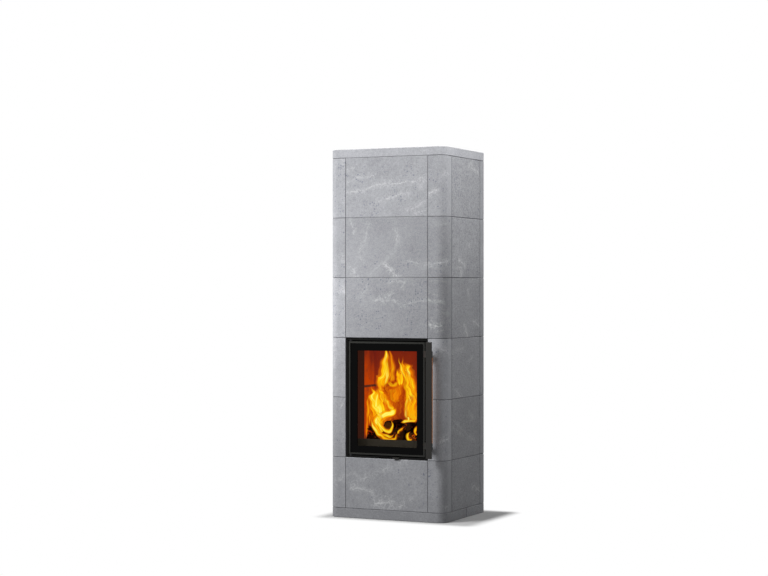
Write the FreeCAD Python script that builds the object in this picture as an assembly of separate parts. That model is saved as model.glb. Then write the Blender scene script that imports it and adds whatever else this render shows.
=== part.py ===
import FreeCAD
import Part
import math
import os

# Slim soapstone masonry heater with a glazed steel fire door.
# Millimetres, +Z up, +X to the right seen from the front, -Y towards the viewer.
# The origin lies on the floor under the centre of the stone body.

Vector = FreeCAD.Vector

# Stone shell
BODY_WIDTH = 592.0
BODY_DEPTH = 466.0
PLINTH_HEIGHT = 45.0
PLINTH_FRONT_DEPTH = 253.0
LOWER_COURSE_HEIGHT = 238.0
COURSE_HEIGHT = 280.0
SLAB_THICKNESS = 40.0
CORNER_RADIUS = 45.0
STONE_THICKNESS = 45.0
BACK_SLAB_THICKNESS = 48.0
CORNER_FRONT_LEG = 85.5
CORNER_SIDE_LEG = 81.0
STONE_JOINT = 0.5
ARRIS = 2.0
COURSE_COUNT = 6
DOOR_COURSES = (2, 3)

# Core behind the shell
CORE_JOINT = 0.5
BRICK_ARRIS = 2.0
LINING_SETBACK = 73.0
LINING_THICKNESS = 50.0
FIREBOX_WIDTH = 300.0
FIREBOX_DEPTH = 185.0
SIDE_BRICK_FRONT_DEPTH = 110.0
LOWER_BRICK_HEIGHT = 267.0
HEARTH_RISE = 62.0
HEARTH_THICKNESS = 45.0
HEARTH_OVERHANG = 16.0
BASE_CHAMBER_WIDTH = 280.0
BASE_WALL_DEPTH = 60.0
SMOKE_PORT_DEPTH = 70.0
SMOKE_PORT_HEIGHT = 180.0
LINTEL_HEIGHT = 60.0
LINTEL_GAP = 2.5
THROAT_WIDTH = 220.0
THROAT_DEPTH = 60.0
RISER_COUNT = 3
RISER_PORT_DEPTH = 80.0
RISER_PORT_HEIGHT = 90.0
CAP_THICKNESS = 50.0
TOP_INSULATION = 60.0
MASS_BLOCK_COUNT = 5

# Flue and air connections
FLUE_BORE = 151.0
AIR_BORE = 101.0
SLEEVE_WALL = 2.5
SLEEVE_CLEARANCE = 0.3
SLEEVE_FLANGE_WIDTH = 17.0
SLEEVE_FLANGE_THICKNESS = 3.0
AIR_SLEEVE_RISE = 15.0
AIR_INLET_SETBACK = 143.0

# Grate, ash pan and log retainer
GRATE_WIDTH = 190.0
GRATE_DEPTH = 140.0
GRATE_THICKNESS = 15.0
GRATE_LEDGE = 12.0
GRATE_CLEARANCE = 0.6
GRATE_CORNER = 8.0
GRATE_SLOTS = 8
GRATE_SLOT_WIDTH = 9.0
GRATE_SLOT_LENGTH = 104.0
ASH_PAN_DEPTH = 90.0
ASH_PAN_SHEET = 1.5
ASH_PAN_SLOT_HEIGHT = 14.0
RETAINER_WIDTH = 360.0
RETAINER_SHEET = 3.0
RETAINER_RISE = 23.0
RETAINER_DROP = 19.0
RETAINER_FOOT = 26.0
RETAINER_SEAT = 0.3

# Firewood, laid end-on to the door
LOG_LENGTH = 150.0
LOG_SETBACK = 20.0
LOG_GAP = 0.4
LOG_ROW_START = -105.0
LOG_ROW_RADII = (24.0, 30.0, 40.0, 30.0)
LOG_ROW_FLATS = (150.0, 135.0, 95.0, 20.0)
LOG_TOP_RADII = (26.0, 24.0)
LOG_TOP_FLATS = (70.0, 95.0)
LOG_FLAT_DEPTH = 5.0

# Door frame
FRAME_CLEARANCE = 0.75
FRAME_RECESS = 7.0
FRAME_PLATE = 4.0
FRAME_SIDE_FLANGE = 8.5
FRAME_TOP_FLANGE = 11.0
FRAME_BOTTOM_FLANGE = 9.25
REVEAL_WALL = 3.5
REVEAL_DEPTH = 42.0
LANDING_WIDTH = 27.0
STUD_ACROSS_FLATS = 10.0
STUD_DROP = 100.0
SEAL_CLEARANCE = 0.3
SEAL_DEPTH = 31.0

# Air slide under the frame's lower wall
SLIDE_THICKNESS = 3.0
SLIDE_CLEARANCE = 0.4
SLIDE_TRAVEL = 90.0
SLIDE_SOLID_LENGTH = 95.0
SLIDE_MARGIN = 7.0
SLIDE_END_GAP = 14.0
AIR_PORT_LENGTH = 80.0
AIR_PORT_DEPTH = 16.0
LEDGE_WIDTH = 6.0
LEVER_SHANK_WIDTH = 14.0
LEVER_TAB_WIDTH = 36.0
LEVER_TAB_FOOT = 24.0
LEVER_TAB_DROP = 2.5
LEVER_TAB_RISE = 3.0
LEVER_TAB_THICKNESS = 6.0
LEVER_TAB_CLEARANCE = 1.5
LEVER_TAB_EDGE = 1.5

# Door leaf
LEAF_SIDE_GAP = 5.5
LEAF_TOP_GAP = 6.0
LEAF_BOTTOM_GAP = 5.0
LEAF_RECESS = 2.0
LEAF_DEPTH = 35.0
LEAF_LIP = 8.0
LEAF_LIP_THICKNESS = 4.0
LEAF_WALL = 4.0
LEAF_RAIL = 5.0
LEAF_EDGE = 1.5
GLASS_THICKNESS = 4.0
GLASS_CLEARANCE = 0.6
GLASS_BED = 1.0
GLASS_TAPE = 2.0
GLASS_TAPE_WIDTH = 12.0
RETAINER_RING_WIDTH = 25.0
GASKET_WIDTH = 12.0
GASKET_INSET = 2.0
GASKET_GROOVE = 6.0
GASKET_LANDING_GAP = 0.3
GASKET_ROUND = 4.0

# Hinge pins
PIN_DIAMETER = 8.0
PIN_CLEARANCE = 0.05
PIN_EDGE = 7.0
PIN_SETBACK = 8.0
PIN_COLLAR_HEIGHT = 3.0
PIN_COLLAR_DIAMETER = 13.0
PIN_END_GAP = 0.3

# Catch in the leaf's right wall
PLUNGER_DIAMETER = 9.0
PLUNGER_CLEARANCE = 0.05
PLUNGER_ENGAGEMENT = 2.5
PLUNGER_TAIL = 9.0
PLUNGER_TIP_LENGTH = 4.0
PLUNGER_TIP_DIAMETER = 4.0
PLUNGER_TRAVEL = 8.0
HOUSING_HEIGHT = 30.0
HOUSING_DEPTH = 15.0
HOUSING_WIDTH = 20.0
HOUSING_CLEARANCE = 0.5
STRIKE_CLEARANCE = 1.5

# Handle
HANDLE_PROUD = 45.0
HANDLE_GAP = 25.0
HANDLE_WIDTH = 29.0
HANDLE_THICKNESS = 6.0
HANDLE_LENGTH = 532.5
HANDLE_LIFT = 0.6
HANDLE_EDGE = 1.0
GRIP_THICKNESS = 13.0
GRIP_ROUND = 5.0
ARM_SPACING = 419.0
ARM_HEIGHT = 29.0
ARM_THICKNESS = 4.0
ARM_ROOT_DEPTH = 17.0
ARM_RISE = 12.0
ARM_PAD = 8.0

# Places worked out from the sizes above
FRONT = -BODY_DEPTH / 2
BACK = BODY_DEPTH / 2
HALF_WIDTH = BODY_WIDTH / 2
PANEL_HALF = HALF_WIDTH - CORNER_FRONT_LEG
SHELL_INNER_X = HALF_WIDTH - STONE_THICKNESS
SHELL_INNER_FRONT = FRONT + STONE_THICKNESS
SHELL_INNER_BACK = BACK - BACK_SLAB_THICKNESS
PLINTH_TOP = PLINTH_HEIGHT - STONE_JOINT / 2
PLINTH_JOINT = FRONT + PLINTH_FRONT_DEPTH


def course_floor(course):
    """Level of the bed joint under a course, counted from 1 at the bottom."""
    if course == 1:
        return PLINTH_HEIGHT
    return PLINTH_HEIGHT + LOWER_COURSE_HEIGHT + (course - 2) * COURSE_HEIGHT


SLAB_FLOOR = course_floor(COURSE_COUNT + 1)
OPENING_FLOOR = course_floor(DOOR_COURSES[0])
OPENING_TOP = course_floor(DOOR_COURSES[-1] + 1)

FIREBOX_HALF = FIREBOX_WIDTH / 2
CORE_HALF = FIREBOX_HALF + LINING_THICKNESS
LINING_FRONT = FRONT + LINING_SETBACK
FIREBOX_BACK = LINING_FRONT + FIREBOX_DEPTH
CORE_BACK = FIREBOX_BACK + LINING_THICKNESS
HEARTH_TOP = OPENING_FLOOR + HEARTH_RISE
HEARTH_FLOOR = HEARTH_TOP - HEARTH_THICKNESS
HEARTH_FRONT = LINING_FRONT - HEARTH_OVERHANG
BRICK_JOINT_LEVEL = HEARTH_TOP + LOWER_BRICK_HEIGHT
FIREBOX_TOP = OPENING_TOP + LINTEL_GAP
CORE_FRONT = SHELL_INNER_FRONT + CORE_JOINT
REAR_FRONT = CORE_BACK + CORE_JOINT
REAR_BACK = SHELL_INNER_BACK - CORE_JOINT
LINTEL_TOP = FIREBOX_TOP + LINTEL_HEIGHT
LINTEL_BACK = LINING_FRONT + LINING_THICKNESS
CAP_TOP = SLAB_FLOOR - TOP_INSULATION
CAP_FLOOR = CAP_TOP - CAP_THICKNESS
FIREBOX_MIDDLE = LINING_FRONT + FIREBOX_DEPTH / 2
AIR_INLET_Y = FRONT + AIR_INLET_SETBACK
FLUE_LEVEL = (course_floor(1) + course_floor(2)) / 2

FRAME_HALF = PANEL_HALF - STONE_JOINT / 2 - FRAME_CLEARANCE
FRAME_FLOOR = OPENING_FLOOR + FRAME_CLEARANCE
FRAME_TOP = OPENING_TOP - FRAME_CLEARANCE
FRAME_FRONT = FRONT + FRAME_RECESS
FRAME_BACK = FRAME_FRONT + REVEAL_DEPTH
LANDING_FRONT = FRAME_BACK - FRAME_PLATE
REVEAL_HALF = FRAME_HALF - FRAME_SIDE_FLANGE
REVEAL_FLOOR = FRAME_FLOOR + FRAME_BOTTOM_FLANGE
REVEAL_TOP = FRAME_TOP - FRAME_TOP_FLANGE
LANDING_HALF = REVEAL_HALF - LANDING_WIDTH

SLIDE_TOP = REVEAL_FLOOR - REVEAL_WALL - SLIDE_CLEARANCE
SLIDE_FLOOR = SLIDE_TOP - SLIDE_THICKNESS
LEDGE_TOP = SLIDE_FLOOR - SLIDE_CLEARANCE
SLIDE_FRONT = FRAME_FRONT + FRAME_PLATE + SLIDE_CLEARANCE
SLIDE_BACK = LANDING_FRONT - SLIDE_CLEARANCE
AIR_PORT_Y = (FRAME_FRONT + FRAME_PLATE + LANDING_FRONT) / 2
SLIDE_END = REVEAL_HALF - SLIDE_END_GAP
AIR_PORT_START = SLIDE_END - SLIDE_SOLID_LENGTH - AIR_PORT_LENGTH
LEVER_REST = AIR_PORT_START + AIR_PORT_LENGTH / 2

LEAF_HALF = REVEAL_HALF - LEAF_SIDE_GAP
LEAF_FLOOR = REVEAL_FLOOR + LEAF_BOTTOM_GAP
LEAF_TOP = REVEAL_TOP - LEAF_TOP_GAP
LEAF_MIDDLE = (LEAF_FLOOR + LEAF_TOP) / 2
LEAF_FRONT = FRONT + LEAF_RECESS
LEAF_BACK = LEAF_FRONT + LEAF_DEPTH
POCKET_HALF = LEAF_HALF - LEAF_WALL
GLASS_HALF = POCKET_HALF - GLASS_CLEARANCE
GLASS_FLOOR = LEAF_FLOOR + LEAF_RAIL + GLASS_CLEARANCE
GLASS_TOP = LEAF_TOP - LEAF_RAIL - GLASS_CLEARANCE
GLASS_FRONT = LEAF_FRONT + LEAF_LIP_THICKNESS + GLASS_BED
GLASS_BACK = GLASS_FRONT + GLASS_THICKNESS
RING_FRONT = GLASS_BACK + GLASS_TAPE
GROOVE_FLOOR = LEAF_BACK - GASKET_GROOVE
PIN_X = -LEAF_HALF + PIN_EDGE
PIN_Y = LEAF_FRONT + PIN_SETBACK
PLUNGER_Y = (RING_FRONT + GROOVE_FLOOR) / 2
PLUNGER_TIP = REVEAL_HALF + PLUNGER_ENGAGEMENT

HANDLE_FRONT = FRONT - HANDLE_PROUD
HANDLE_BACK = HANDLE_FRONT + HANDLE_THICKNESS
HANDLE_LEFT = LEAF_HALF + HANDLE_GAP
HANDLE_RIGHT = HANDLE_LEFT + HANDLE_WIDTH
HANDLE_MIDDLE = LEAF_MIDDLE + HANDLE_LIFT


def block(x0, x1, y0, y1, z0, z1):
    """Rectangular solid between two corners."""
    return Part.makeBox(x1 - x0, y1 - y0, z1 - z0, Vector(x0, y0, z0))


def prism(wire, height):
    """Solid over a closed flat outline, upwards by height."""
    return Part.Face(wire).extrude(Vector(0, 0, height))


def outline(points):
    """Closed straight-sided outline through the given points."""
    corners = [Vector(*point) for point in points]
    return Part.makePolygon(corners + corners[:1])


def rod_x(x0, x1, y, z, diameter):
    """Round bar along X."""
    return Part.makeCylinder(diameter / 2, x1 - x0, Vector(x0, y, z), Vector(1, 0, 0))


def rod_y(x, y0, y1, z, diameter):
    """Round bar along Y."""
    return Part.makeCylinder(diameter / 2, y1 - y0, Vector(x, y0, z), Vector(0, 1, 0))


def rod_z(x, y, z0, z1, diameter):
    """Round bar along Z."""
    return Part.makeCylinder(diameter / 2, z1 - z0, Vector(x, y, z0), Vector(0, 0, 1))


def hexagon_bar_y(x, y0, y1, z, across_flats):
    """Six-sided bar along Y."""
    reach = across_flats / math.sqrt(3)
    corners = []
    for number in range(6):
        angle = math.radians(60 * number)
        corners.append((x + reach * math.cos(angle), y0, z + reach * math.sin(angle)))
    return Part.Face(outline(corners)).extrude(Vector(0, y1 - y0, 0))


def window_ring(half, floor, top, width, y0, y1):
    """Upright rectangular ring of one width, between two depths."""
    outer = block(-half, half, y0, y1, floor, top)
    inner_half = half - width
    return outer.cut(block(-inner_half, inner_half, y0, y1, floor + width, top - width))


def mirrored(shape):
    """The same piece for the other side of the heater."""
    return shape.mirror(Vector(0, 0, 0), Vector(1, 0, 0))


def edges_along_z(shape, test):
    """Upright edges whose plan position passes a test."""
    picked = []
    for edge in shape.Edges:
        a = edge.Vertexes[0].Point
        b = edge.Vertexes[-1].Point
        if abs(a.x - b.x) < 1e-6 and abs(a.y - b.y) < 1e-6 and test(a.x, a.y):
            picked.append(edge)
    return picked


def edges_at_depth(shape, y):
    """Edges that lie wholly at one depth."""
    return [edge for edge in shape.Edges if all(abs(vertex.Point.y - y) < 1e-6 for vertex in edge.Vertexes)]


def on_skin(point):
    """True for a point on the upright outer surface of the stone body."""
    side = abs(point.x)
    if abs(side - HALF_WIDTH) < 1e-4 or abs(point.y - BACK) < 1e-4 or abs(point.y - FRONT) < 1e-4:
        return True
    reach_x = side - (HALF_WIDTH - CORNER_RADIUS)
    reach_y = (FRONT + CORNER_RADIUS) - point.y
    if reach_x < 0 or reach_y < 0:
        return False
    return abs(math.hypot(reach_x, reach_y) - CORNER_RADIUS) < 1e-4


def at_round_end(point):
    """True where the rounded corner runs smoothly into a flat face."""
    on_front = abs(abs(point.x) - (HALF_WIDTH - CORNER_RADIUS)) < 1e-4 and abs(point.y - FRONT) < 1e-4
    on_side = abs(abs(point.x) - HALF_WIDTH) < 1e-4 and abs(point.y - (FRONT + CORNER_RADIUS)) < 1e-4
    return on_front or on_side


def ease_arrises(stone):
    """Small chamfer on every edge of a stone that shows on the body's surface."""
    eased = []
    for edge in stone.Edges:
        first = edge.valueAt(edge.FirstParameter)
        last = edge.valueAt(edge.LastParameter)
        middle = edge.valueAt((edge.FirstParameter + edge.LastParameter) / 2)
        upright = abs(first.z - last.z) > 1e-6
        if upright and at_round_end(middle):
            continue
        if on_skin(first) and on_skin(middle) and on_skin(last):
            eased.append(edge)
    return stone.makeChamfer(ARRIS, eased)


def rounded_plan(y_back, z):
    """Plan outline of the full body width with the two rounded front corners."""
    r = CORNER_RADIUS
    diagonal = r * (1 - math.sqrt(0.5))
    left = Vector(-HALF_WIDTH, FRONT + r, z)
    left_mid = Vector(-HALF_WIDTH + diagonal, FRONT + diagonal, z)
    left_end = Vector(-HALF_WIDTH + r, FRONT, z)
    right = Vector(HALF_WIDTH - r, FRONT, z)
    right_mid = Vector(HALF_WIDTH - diagonal, FRONT + diagonal, z)
    right_end = Vector(HALF_WIDTH, FRONT + r, z)
    rear_right = Vector(HALF_WIDTH, y_back, z)
    rear_left = Vector(-HALF_WIDTH, y_back, z)
    edges = [
        Part.Arc(left, left_mid, left_end).toShape(),
        Part.LineSegment(left_end, right).toShape(),
        Part.Arc(right, right_mid, right_end).toShape(),
        Part.LineSegment(right_end, rear_right).toShape(),
        Part.LineSegment(rear_right, rear_left).toShape(),
        Part.LineSegment(rear_left, left).toShape(),
    ]
    return Part.Wire(edges)


def plinth_front_slab():
    """Front base slab with the hole for the air sleeve."""
    slab = prism(rounded_plan(PLINTH_JOINT - STONE_JOINT / 2, 0), PLINTH_TOP)
    hole = AIR_BORE + 2 * SLEEVE_WALL + 2 * SLEEVE_CLEARANCE
    return ease_arrises(slab).cut(rod_z(0, AIR_INLET_Y, 0, PLINTH_TOP, hole))


def plinth_rear_slab():
    """Rear base slab."""
    slab = block(-HALF_WIDTH, HALF_WIDTH, PLINTH_JOINT + STONE_JOINT / 2, BACK, 0, PLINTH_TOP)
    return ease_arrises(slab)


def top_slab():
    """Flat slab that closes the heater."""
    floor = SLAB_FLOOR + STONE_JOINT / 2
    return ease_arrises(prism(rounded_plan(BACK, floor), SLAB_THICKNESS - STONE_JOINT / 2))


def stone_levels(course):
    """Lower and upper face of the stones of one course."""
    return course_floor(course) + STONE_JOINT / 2, course_floor(course + 1) - STONE_JOINT / 2


def front_panel(course):
    """Centre panel of one course."""
    floor, top = stone_levels(course)
    half = PANEL_HALF - STONE_JOINT / 2
    return ease_arrises(block(-half, half, FRONT, SHELL_INNER_FRONT, floor, top))


def corner_stone(course):
    """Right front corner stone: an L in plan, rounded on the outside."""
    floor, top = stone_levels(course)
    r = CORNER_RADIUS
    diagonal = r * (1 - math.sqrt(0.5))
    joint_x = PANEL_HALF + STONE_JOINT / 2
    joint_y = FRONT + CORNER_SIDE_LEG - STONE_JOINT / 2
    start = Vector(joint_x, FRONT, floor)
    bend = Vector(HALF_WIDTH - r, FRONT, floor)
    bend_mid = Vector(HALF_WIDTH - diagonal, FRONT + diagonal, floor)
    bend_end = Vector(HALF_WIDTH, FRONT + r, floor)
    side_end = Vector(HALF_WIDTH, joint_y, floor)
    side_inner = Vector(SHELL_INNER_X, joint_y, floor)
    inner = Vector(SHELL_INNER_X, SHELL_INNER_FRONT, floor)
    front_inner = Vector(joint_x, SHELL_INNER_FRONT, floor)
    edges = [
        Part.LineSegment(start, bend).toShape(),
        Part.Arc(bend, bend_mid, bend_end).toShape(),
        Part.LineSegment(bend_end, side_end).toShape(),
        Part.LineSegment(side_end, side_inner).toShape(),
        Part.LineSegment(side_inner, inner).toShape(),
        Part.LineSegment(inner, front_inner).toShape(),
        Part.LineSegment(front_inner, start).toShape(),
    ]
    return ease_arrises(prism(Part.Wire(edges), top - floor))


def side_panels(course):
    """The two identical side panels of one course."""
    floor, top = stone_levels(course)
    y0 = FRONT + CORNER_SIDE_LEG + STONE_JOINT / 2
    y1 = SHELL_INNER_BACK - STONE_JOINT / 2
    right = ease_arrises(block(SHELL_INNER_X, HALF_WIDTH, y0, y1, floor, top))
    return Part.makeCompound([right, mirrored(right)])


def back_slab(course):
    """Full-width slab at the back of one course."""
    floor, top = stone_levels(course)
    return ease_arrises(block(-HALF_WIDTH, HALF_WIDTH, SHELL_INNER_BACK, BACK, floor, top))


def back_slab_with_flue():
    """Lowest back slab with the hole for the flue collar."""
    hole = FLUE_BORE + 2 * SLEEVE_WALL + 2 * SLEEVE_CLEARANCE
    return back_slab(1).cut(rod_y(0, SHELL_INNER_BACK, BACK, FLUE_LEVEL, hole))


def upper_back_slabs():
    """The plain back slabs above the lowest course."""
    return Part.makeCompound([back_slab(course) for course in range(2, COURSE_COUNT + 1)])


def base_blocks():
    """Two long side blocks with smoke ports and the wall between chamber and collector."""
    half = BASE_CHAMBER_WIDTH / 2
    right = block(half, CORE_HALF, HEARTH_FRONT, REAR_BACK, PLINTH_TOP, HEARTH_FLOOR)
    port_y = (REAR_FRONT + REAR_BACK) / 2
    port_z = (PLINTH_TOP + HEARTH_FLOOR) / 2
    right = right.cut(block(half, CORE_HALF, port_y - SMOKE_PORT_DEPTH / 2, port_y + SMOKE_PORT_DEPTH / 2,
                            port_z - SMOKE_PORT_HEIGHT / 2, port_z + SMOKE_PORT_HEIGHT / 2))
    wall = block(-half, half, CORE_BACK - BASE_WALL_DEPTH, CORE_BACK, PLINTH_TOP, HEARTH_FLOOR)
    return Part.makeCompound([right, mirrored(right), wall])


def collector_cover():
    """Slab over the smoke collector at the back."""
    return block(-CORE_HALF, CORE_HALF, REAR_FRONT, REAR_BACK, HEARTH_FLOOR, HEARTH_TOP)


def grate_seat(width_gap, z0, z1):
    """Round-cornered pocket round the grate, wider than it by a gap all round."""
    half_x = GRATE_WIDTH / 2 + width_gap
    half_y = GRATE_DEPTH / 2 + width_gap
    seat = block(-half_x, half_x, FIREBOX_MIDDLE - half_y, FIREBOX_MIDDLE + half_y, z0, z1)
    return seat.makeFillet(GRATE_CORNER + width_gap, edges_along_z(seat, lambda x, y: True))


def hearth_slab():
    """Firebox floor with a stepped opening for pan and grate."""
    slab = block(-CORE_HALF, CORE_HALF, HEARTH_FRONT, CORE_BACK, HEARTH_FLOOR, HEARTH_TOP)
    ledge = HEARTH_TOP - GRATE_THICKNESS - ASH_PAN_SHEET
    slab = slab.cut(grate_seat(GRATE_CLEARANCE, ledge, HEARTH_TOP))
    half_x = GRATE_WIDTH / 2 - GRATE_LEDGE
    half_y = GRATE_DEPTH / 2 - GRATE_LEDGE
    return slab.cut(block(-half_x, half_x, FIREBOX_MIDDLE - half_y, FIREBOX_MIDDLE + half_y,
                          HEARTH_FLOOR, ledge))


def eased_brick(x0, x1, y0, y1, z0, z1):
    """Lining brick with chamfered edges."""
    brick = block(x0, x1, y0, y1, z0, z1)
    return brick.makeChamfer(BRICK_ARRIS, brick.Edges)


def brick_rows():
    """Lower and upper face of the two rows of lining bricks."""
    gap = CORE_JOINT / 2
    return (HEARTH_TOP, BRICK_JOINT_LEVEL - gap), (BRICK_JOINT_LEVEL + gap, FIREBOX_TOP - gap)


def firebox_side_bricks():
    """Four lining bricks on each side of the fire."""
    gap = CORE_JOINT / 2
    split = LINING_FRONT + SIDE_BRICK_FRONT_DEPTH
    bricks = []
    for floor, top in brick_rows():
        bricks.append(eased_brick(FIREBOX_HALF, CORE_HALF, LINING_FRONT, split - gap, floor, top))
        bricks.append(eased_brick(FIREBOX_HALF, CORE_HALF, split + gap, CORE_BACK, floor, top))
    return Part.makeCompound(bricks + [mirrored(brick) for brick in bricks])


def firebox_back_bricks():
    """Two lining bricks behind the fire."""
    half = FIREBOX_HALF - CORE_JOINT / 2
    return Part.makeCompound([eased_brick(-half, half, FIREBOX_BACK, CORE_BACK, floor, top)
                              for floor, top in brick_rows()])


def firebox_lintel():
    """Beam over the door, carried by the front lining bricks."""
    return block(-CORE_HALF, CORE_HALF, CORE_FRONT, LINTEL_BACK - CORE_JOINT / 2, FIREBOX_TOP, LINTEL_TOP)


def throat_slab():
    """Firebox roof with the slot that lets the gases up."""
    slab = block(-CORE_HALF, CORE_HALF, LINTEL_BACK + CORE_JOINT / 2, CORE_BACK, FIREBOX_TOP, LINTEL_TOP)
    middle = (LINTEL_BACK + FIREBOX_BACK) / 2
    return slab.cut(block(-THROAT_WIDTH / 2, THROAT_WIDTH / 2, middle - THROAT_DEPTH / 2,
                          middle + THROAT_DEPTH / 2, FIREBOX_TOP, LINTEL_TOP))


def riser_block(floor, top):
    """One ring block of the upper chamber."""
    ring = block(-CORE_HALF, CORE_HALF, LINING_FRONT, CORE_BACK, floor, top)
    return ring.cut(block(-FIREBOX_HALF, FIREBOX_HALF, LINTEL_BACK, FIREBOX_BACK, floor, top))


def riser_blocks():
    """Ring blocks, the top one with ports to the side channels."""
    height = (CAP_FLOOR - LINTEL_TOP) / RISER_COUNT
    rings = []
    for number in range(RISER_COUNT):
        floor = LINTEL_TOP + number * height
        rings.append(riser_block(floor, floor + height - CORE_JOINT))
    middle = (LINTEL_BACK + FIREBOX_BACK) / 2
    ports = block(-CORE_HALF, CORE_HALF, middle - RISER_PORT_DEPTH / 2, middle + RISER_PORT_DEPTH / 2,
                  CAP_FLOOR - RISER_PORT_HEIGHT, CAP_FLOOR)
    rings[-1] = rings[-1].cut(ports)
    return Part.makeCompound(rings)


def core_cap():
    """Slab that turns the gases into the side channels."""
    return block(-CORE_HALF, CORE_HALF, LINING_FRONT, CORE_BACK, CAP_FLOOR, CAP_TOP - CORE_JOINT)


def rear_mass_blocks():
    """Heat-storing blocks between the core and the back slabs."""
    height = (CAP_TOP - HEARTH_TOP) / MASS_BLOCK_COUNT
    blocks = []
    for number in range(MASS_BLOCK_COUNT):
        floor = HEARTH_TOP + number * height
        top = floor + height - CORE_JOINT
        blocks.append(block(-CORE_HALF, CORE_HALF, REAR_FRONT, REAR_BACK, floor, top))
    return Part.makeCompound(blocks)


def insulation_boards():
    """Front board behind the panels above the door, and the board under the top slab."""
    front = block(-CORE_HALF, CORE_HALF, CORE_FRONT, LINING_FRONT - CORE_JOINT,
                  LINTEL_TOP, CAP_TOP - CORE_JOINT)
    half = SHELL_INNER_X - CORE_JOINT
    top = block(-half, half, CORE_FRONT, REAR_BACK, CAP_TOP, SLAB_FLOOR)
    return Part.makeCompound([front, top])


def sleeve(bore, length):
    """Flanged pipe sleeve standing on z = 0, flange at the top end."""
    tube = rod_z(0, 0, 0, length, bore + 2 * SLEEVE_WALL)
    flange = rod_z(0, 0, length, length + SLEEVE_FLANGE_THICKNESS, bore + 2 * SLEEVE_FLANGE_WIDTH)
    opening = rod_z(0, 0, 0, length + SLEEVE_FLANGE_THICKNESS, bore)
    return tube.fuse(flange).cut(opening).removeSplitter()


def flue_collar():
    """Sleeve through the lowest back slab, its flange inside the collector."""
    collar = sleeve(FLUE_BORE, BACK_SLAB_THICKNESS)
    collar.rotate(Vector(0, 0, 0), Vector(1, 0, 0), 90)
    collar.translate(Vector(0, BACK, FLUE_LEVEL))
    return collar


def air_inlet_sleeve():
    """Sleeve through the plinth for outside air, its flange above the slab."""
    inlet = sleeve(AIR_BORE, PLINTH_TOP + AIR_SLEEVE_RISE)
    inlet.translate(Vector(0, AIR_INLET_Y, 0))
    return inlet


def slot_cutter(x, z0, z1):
    """Slot along Y through the grate, with pointed ends."""
    half = GRATE_SLOT_WIDTH / 2
    tip = GRATE_SLOT_LENGTH / 2
    shoulder = tip - half
    plan = outline([
        (x, FIREBOX_MIDDLE - tip, z0),
        (x + half, FIREBOX_MIDDLE - shoulder, z0),
        (x + half, FIREBOX_MIDDLE + shoulder, z0),
        (x, FIREBOX_MIDDLE + tip, z0),
        (x - half, FIREBOX_MIDDLE + shoulder, z0),
        (x - half, FIREBOX_MIDDLE - shoulder, z0),
    ])
    return prism(plan, z1 - z0)


def grate():
    """Cast grate with a row of slots."""
    floor = HEARTH_TOP - GRATE_THICKNESS
    plate = grate_seat(0, floor, HEARTH_TOP)
    pitch = (GRATE_WIDTH - 2 * GRATE_LEDGE) / GRATE_SLOTS
    start = -pitch * (GRATE_SLOTS - 1) / 2
    cutters = [slot_cutter(start + number * pitch, floor, HEARTH_TOP) for number in range(GRATE_SLOTS)]
    return plate.cut(cutters)


def ash_pan():
    """Sheet pan that hangs by its rim under the grate, with air slots below the rim."""
    rim_floor = HEARTH_TOP - GRATE_THICKNESS - ASH_PAN_SHEET
    rim_top = HEARTH_TOP - GRATE_THICKNESS
    half_x = GRATE_WIDTH / 2 - GRATE_LEDGE - GRATE_CLEARANCE
    half_y = GRATE_DEPTH / 2 - GRATE_LEDGE - GRATE_CLEARANCE
    floor = rim_floor - ASH_PAN_DEPTH
    rim = grate_seat(0, rim_floor, rim_top)
    tub = block(-half_x, half_x, FIREBOX_MIDDLE - half_y, FIREBOX_MIDDLE + half_y, floor, rim_floor)
    inner_x = half_x - ASH_PAN_SHEET
    inner_y = half_y - ASH_PAN_SHEET
    hollow = block(-inner_x, inner_x, FIREBOX_MIDDLE - inner_y, FIREBOX_MIDDLE + inner_y,
                   floor + ASH_PAN_SHEET, rim_top)
    slot_top = HEARTH_FLOOR - ASH_PAN_SHEET
    slots = block(-half_x, half_x, FIREBOX_MIDDLE - inner_y / 2, FIREBOX_MIDDLE + inner_y / 2,
                  slot_top - ASH_PAN_SLOT_HEIGHT, slot_top)
    return rim.fuse(tub).cut([hollow, slots]).removeSplitter()


def log_retainer():
    """Bent steel lip that hangs on the front edge of the hearth."""
    half = RETAINER_WIDTH / 2
    face_back = HEARTH_FRONT - RETAINER_SEAT
    foot_floor = HEARTH_TOP + RETAINER_SEAT
    face = block(-half, half, face_back - RETAINER_SHEET, face_back,
                 HEARTH_TOP - RETAINER_DROP, HEARTH_TOP + RETAINER_RISE)
    foot_half = FIREBOX_HALF - RETAINER_SHEET
    foot = block(-foot_half, foot_half, face_back, HEARTH_FRONT + RETAINER_FOOT,
                 foot_floor, foot_floor + RETAINER_SHEET)
    return face.fuse(foot).removeSplitter()


def next_on_floor(x, radius, next_radius):
    """Plan position of a round log that lies on the floor against its neighbour."""
    reach = radius + next_radius + LOG_GAP
    return x + math.sqrt(reach ** 2 - (radius - next_radius) ** 2)


def nested_on(left, right, radius):
    """Centre of a log that lies in the hollow between two logs, each given as (x, z, radius)."""
    to_left = left[2] + radius + LOG_GAP
    to_right = right[2] + radius + LOG_GAP
    dx = right[0] - left[0]
    dz = right[1] - left[1]
    span = math.hypot(dx, dz)
    along = (to_left ** 2 - to_right ** 2 + span ** 2) / (2 * span)
    rise = math.sqrt(to_left ** 2 - along ** 2)
    x = left[0] + (along * dx - rise * dz) / span
    z = left[1] + (along * dz + rise * dx) / span
    return x, z, radius


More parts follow.
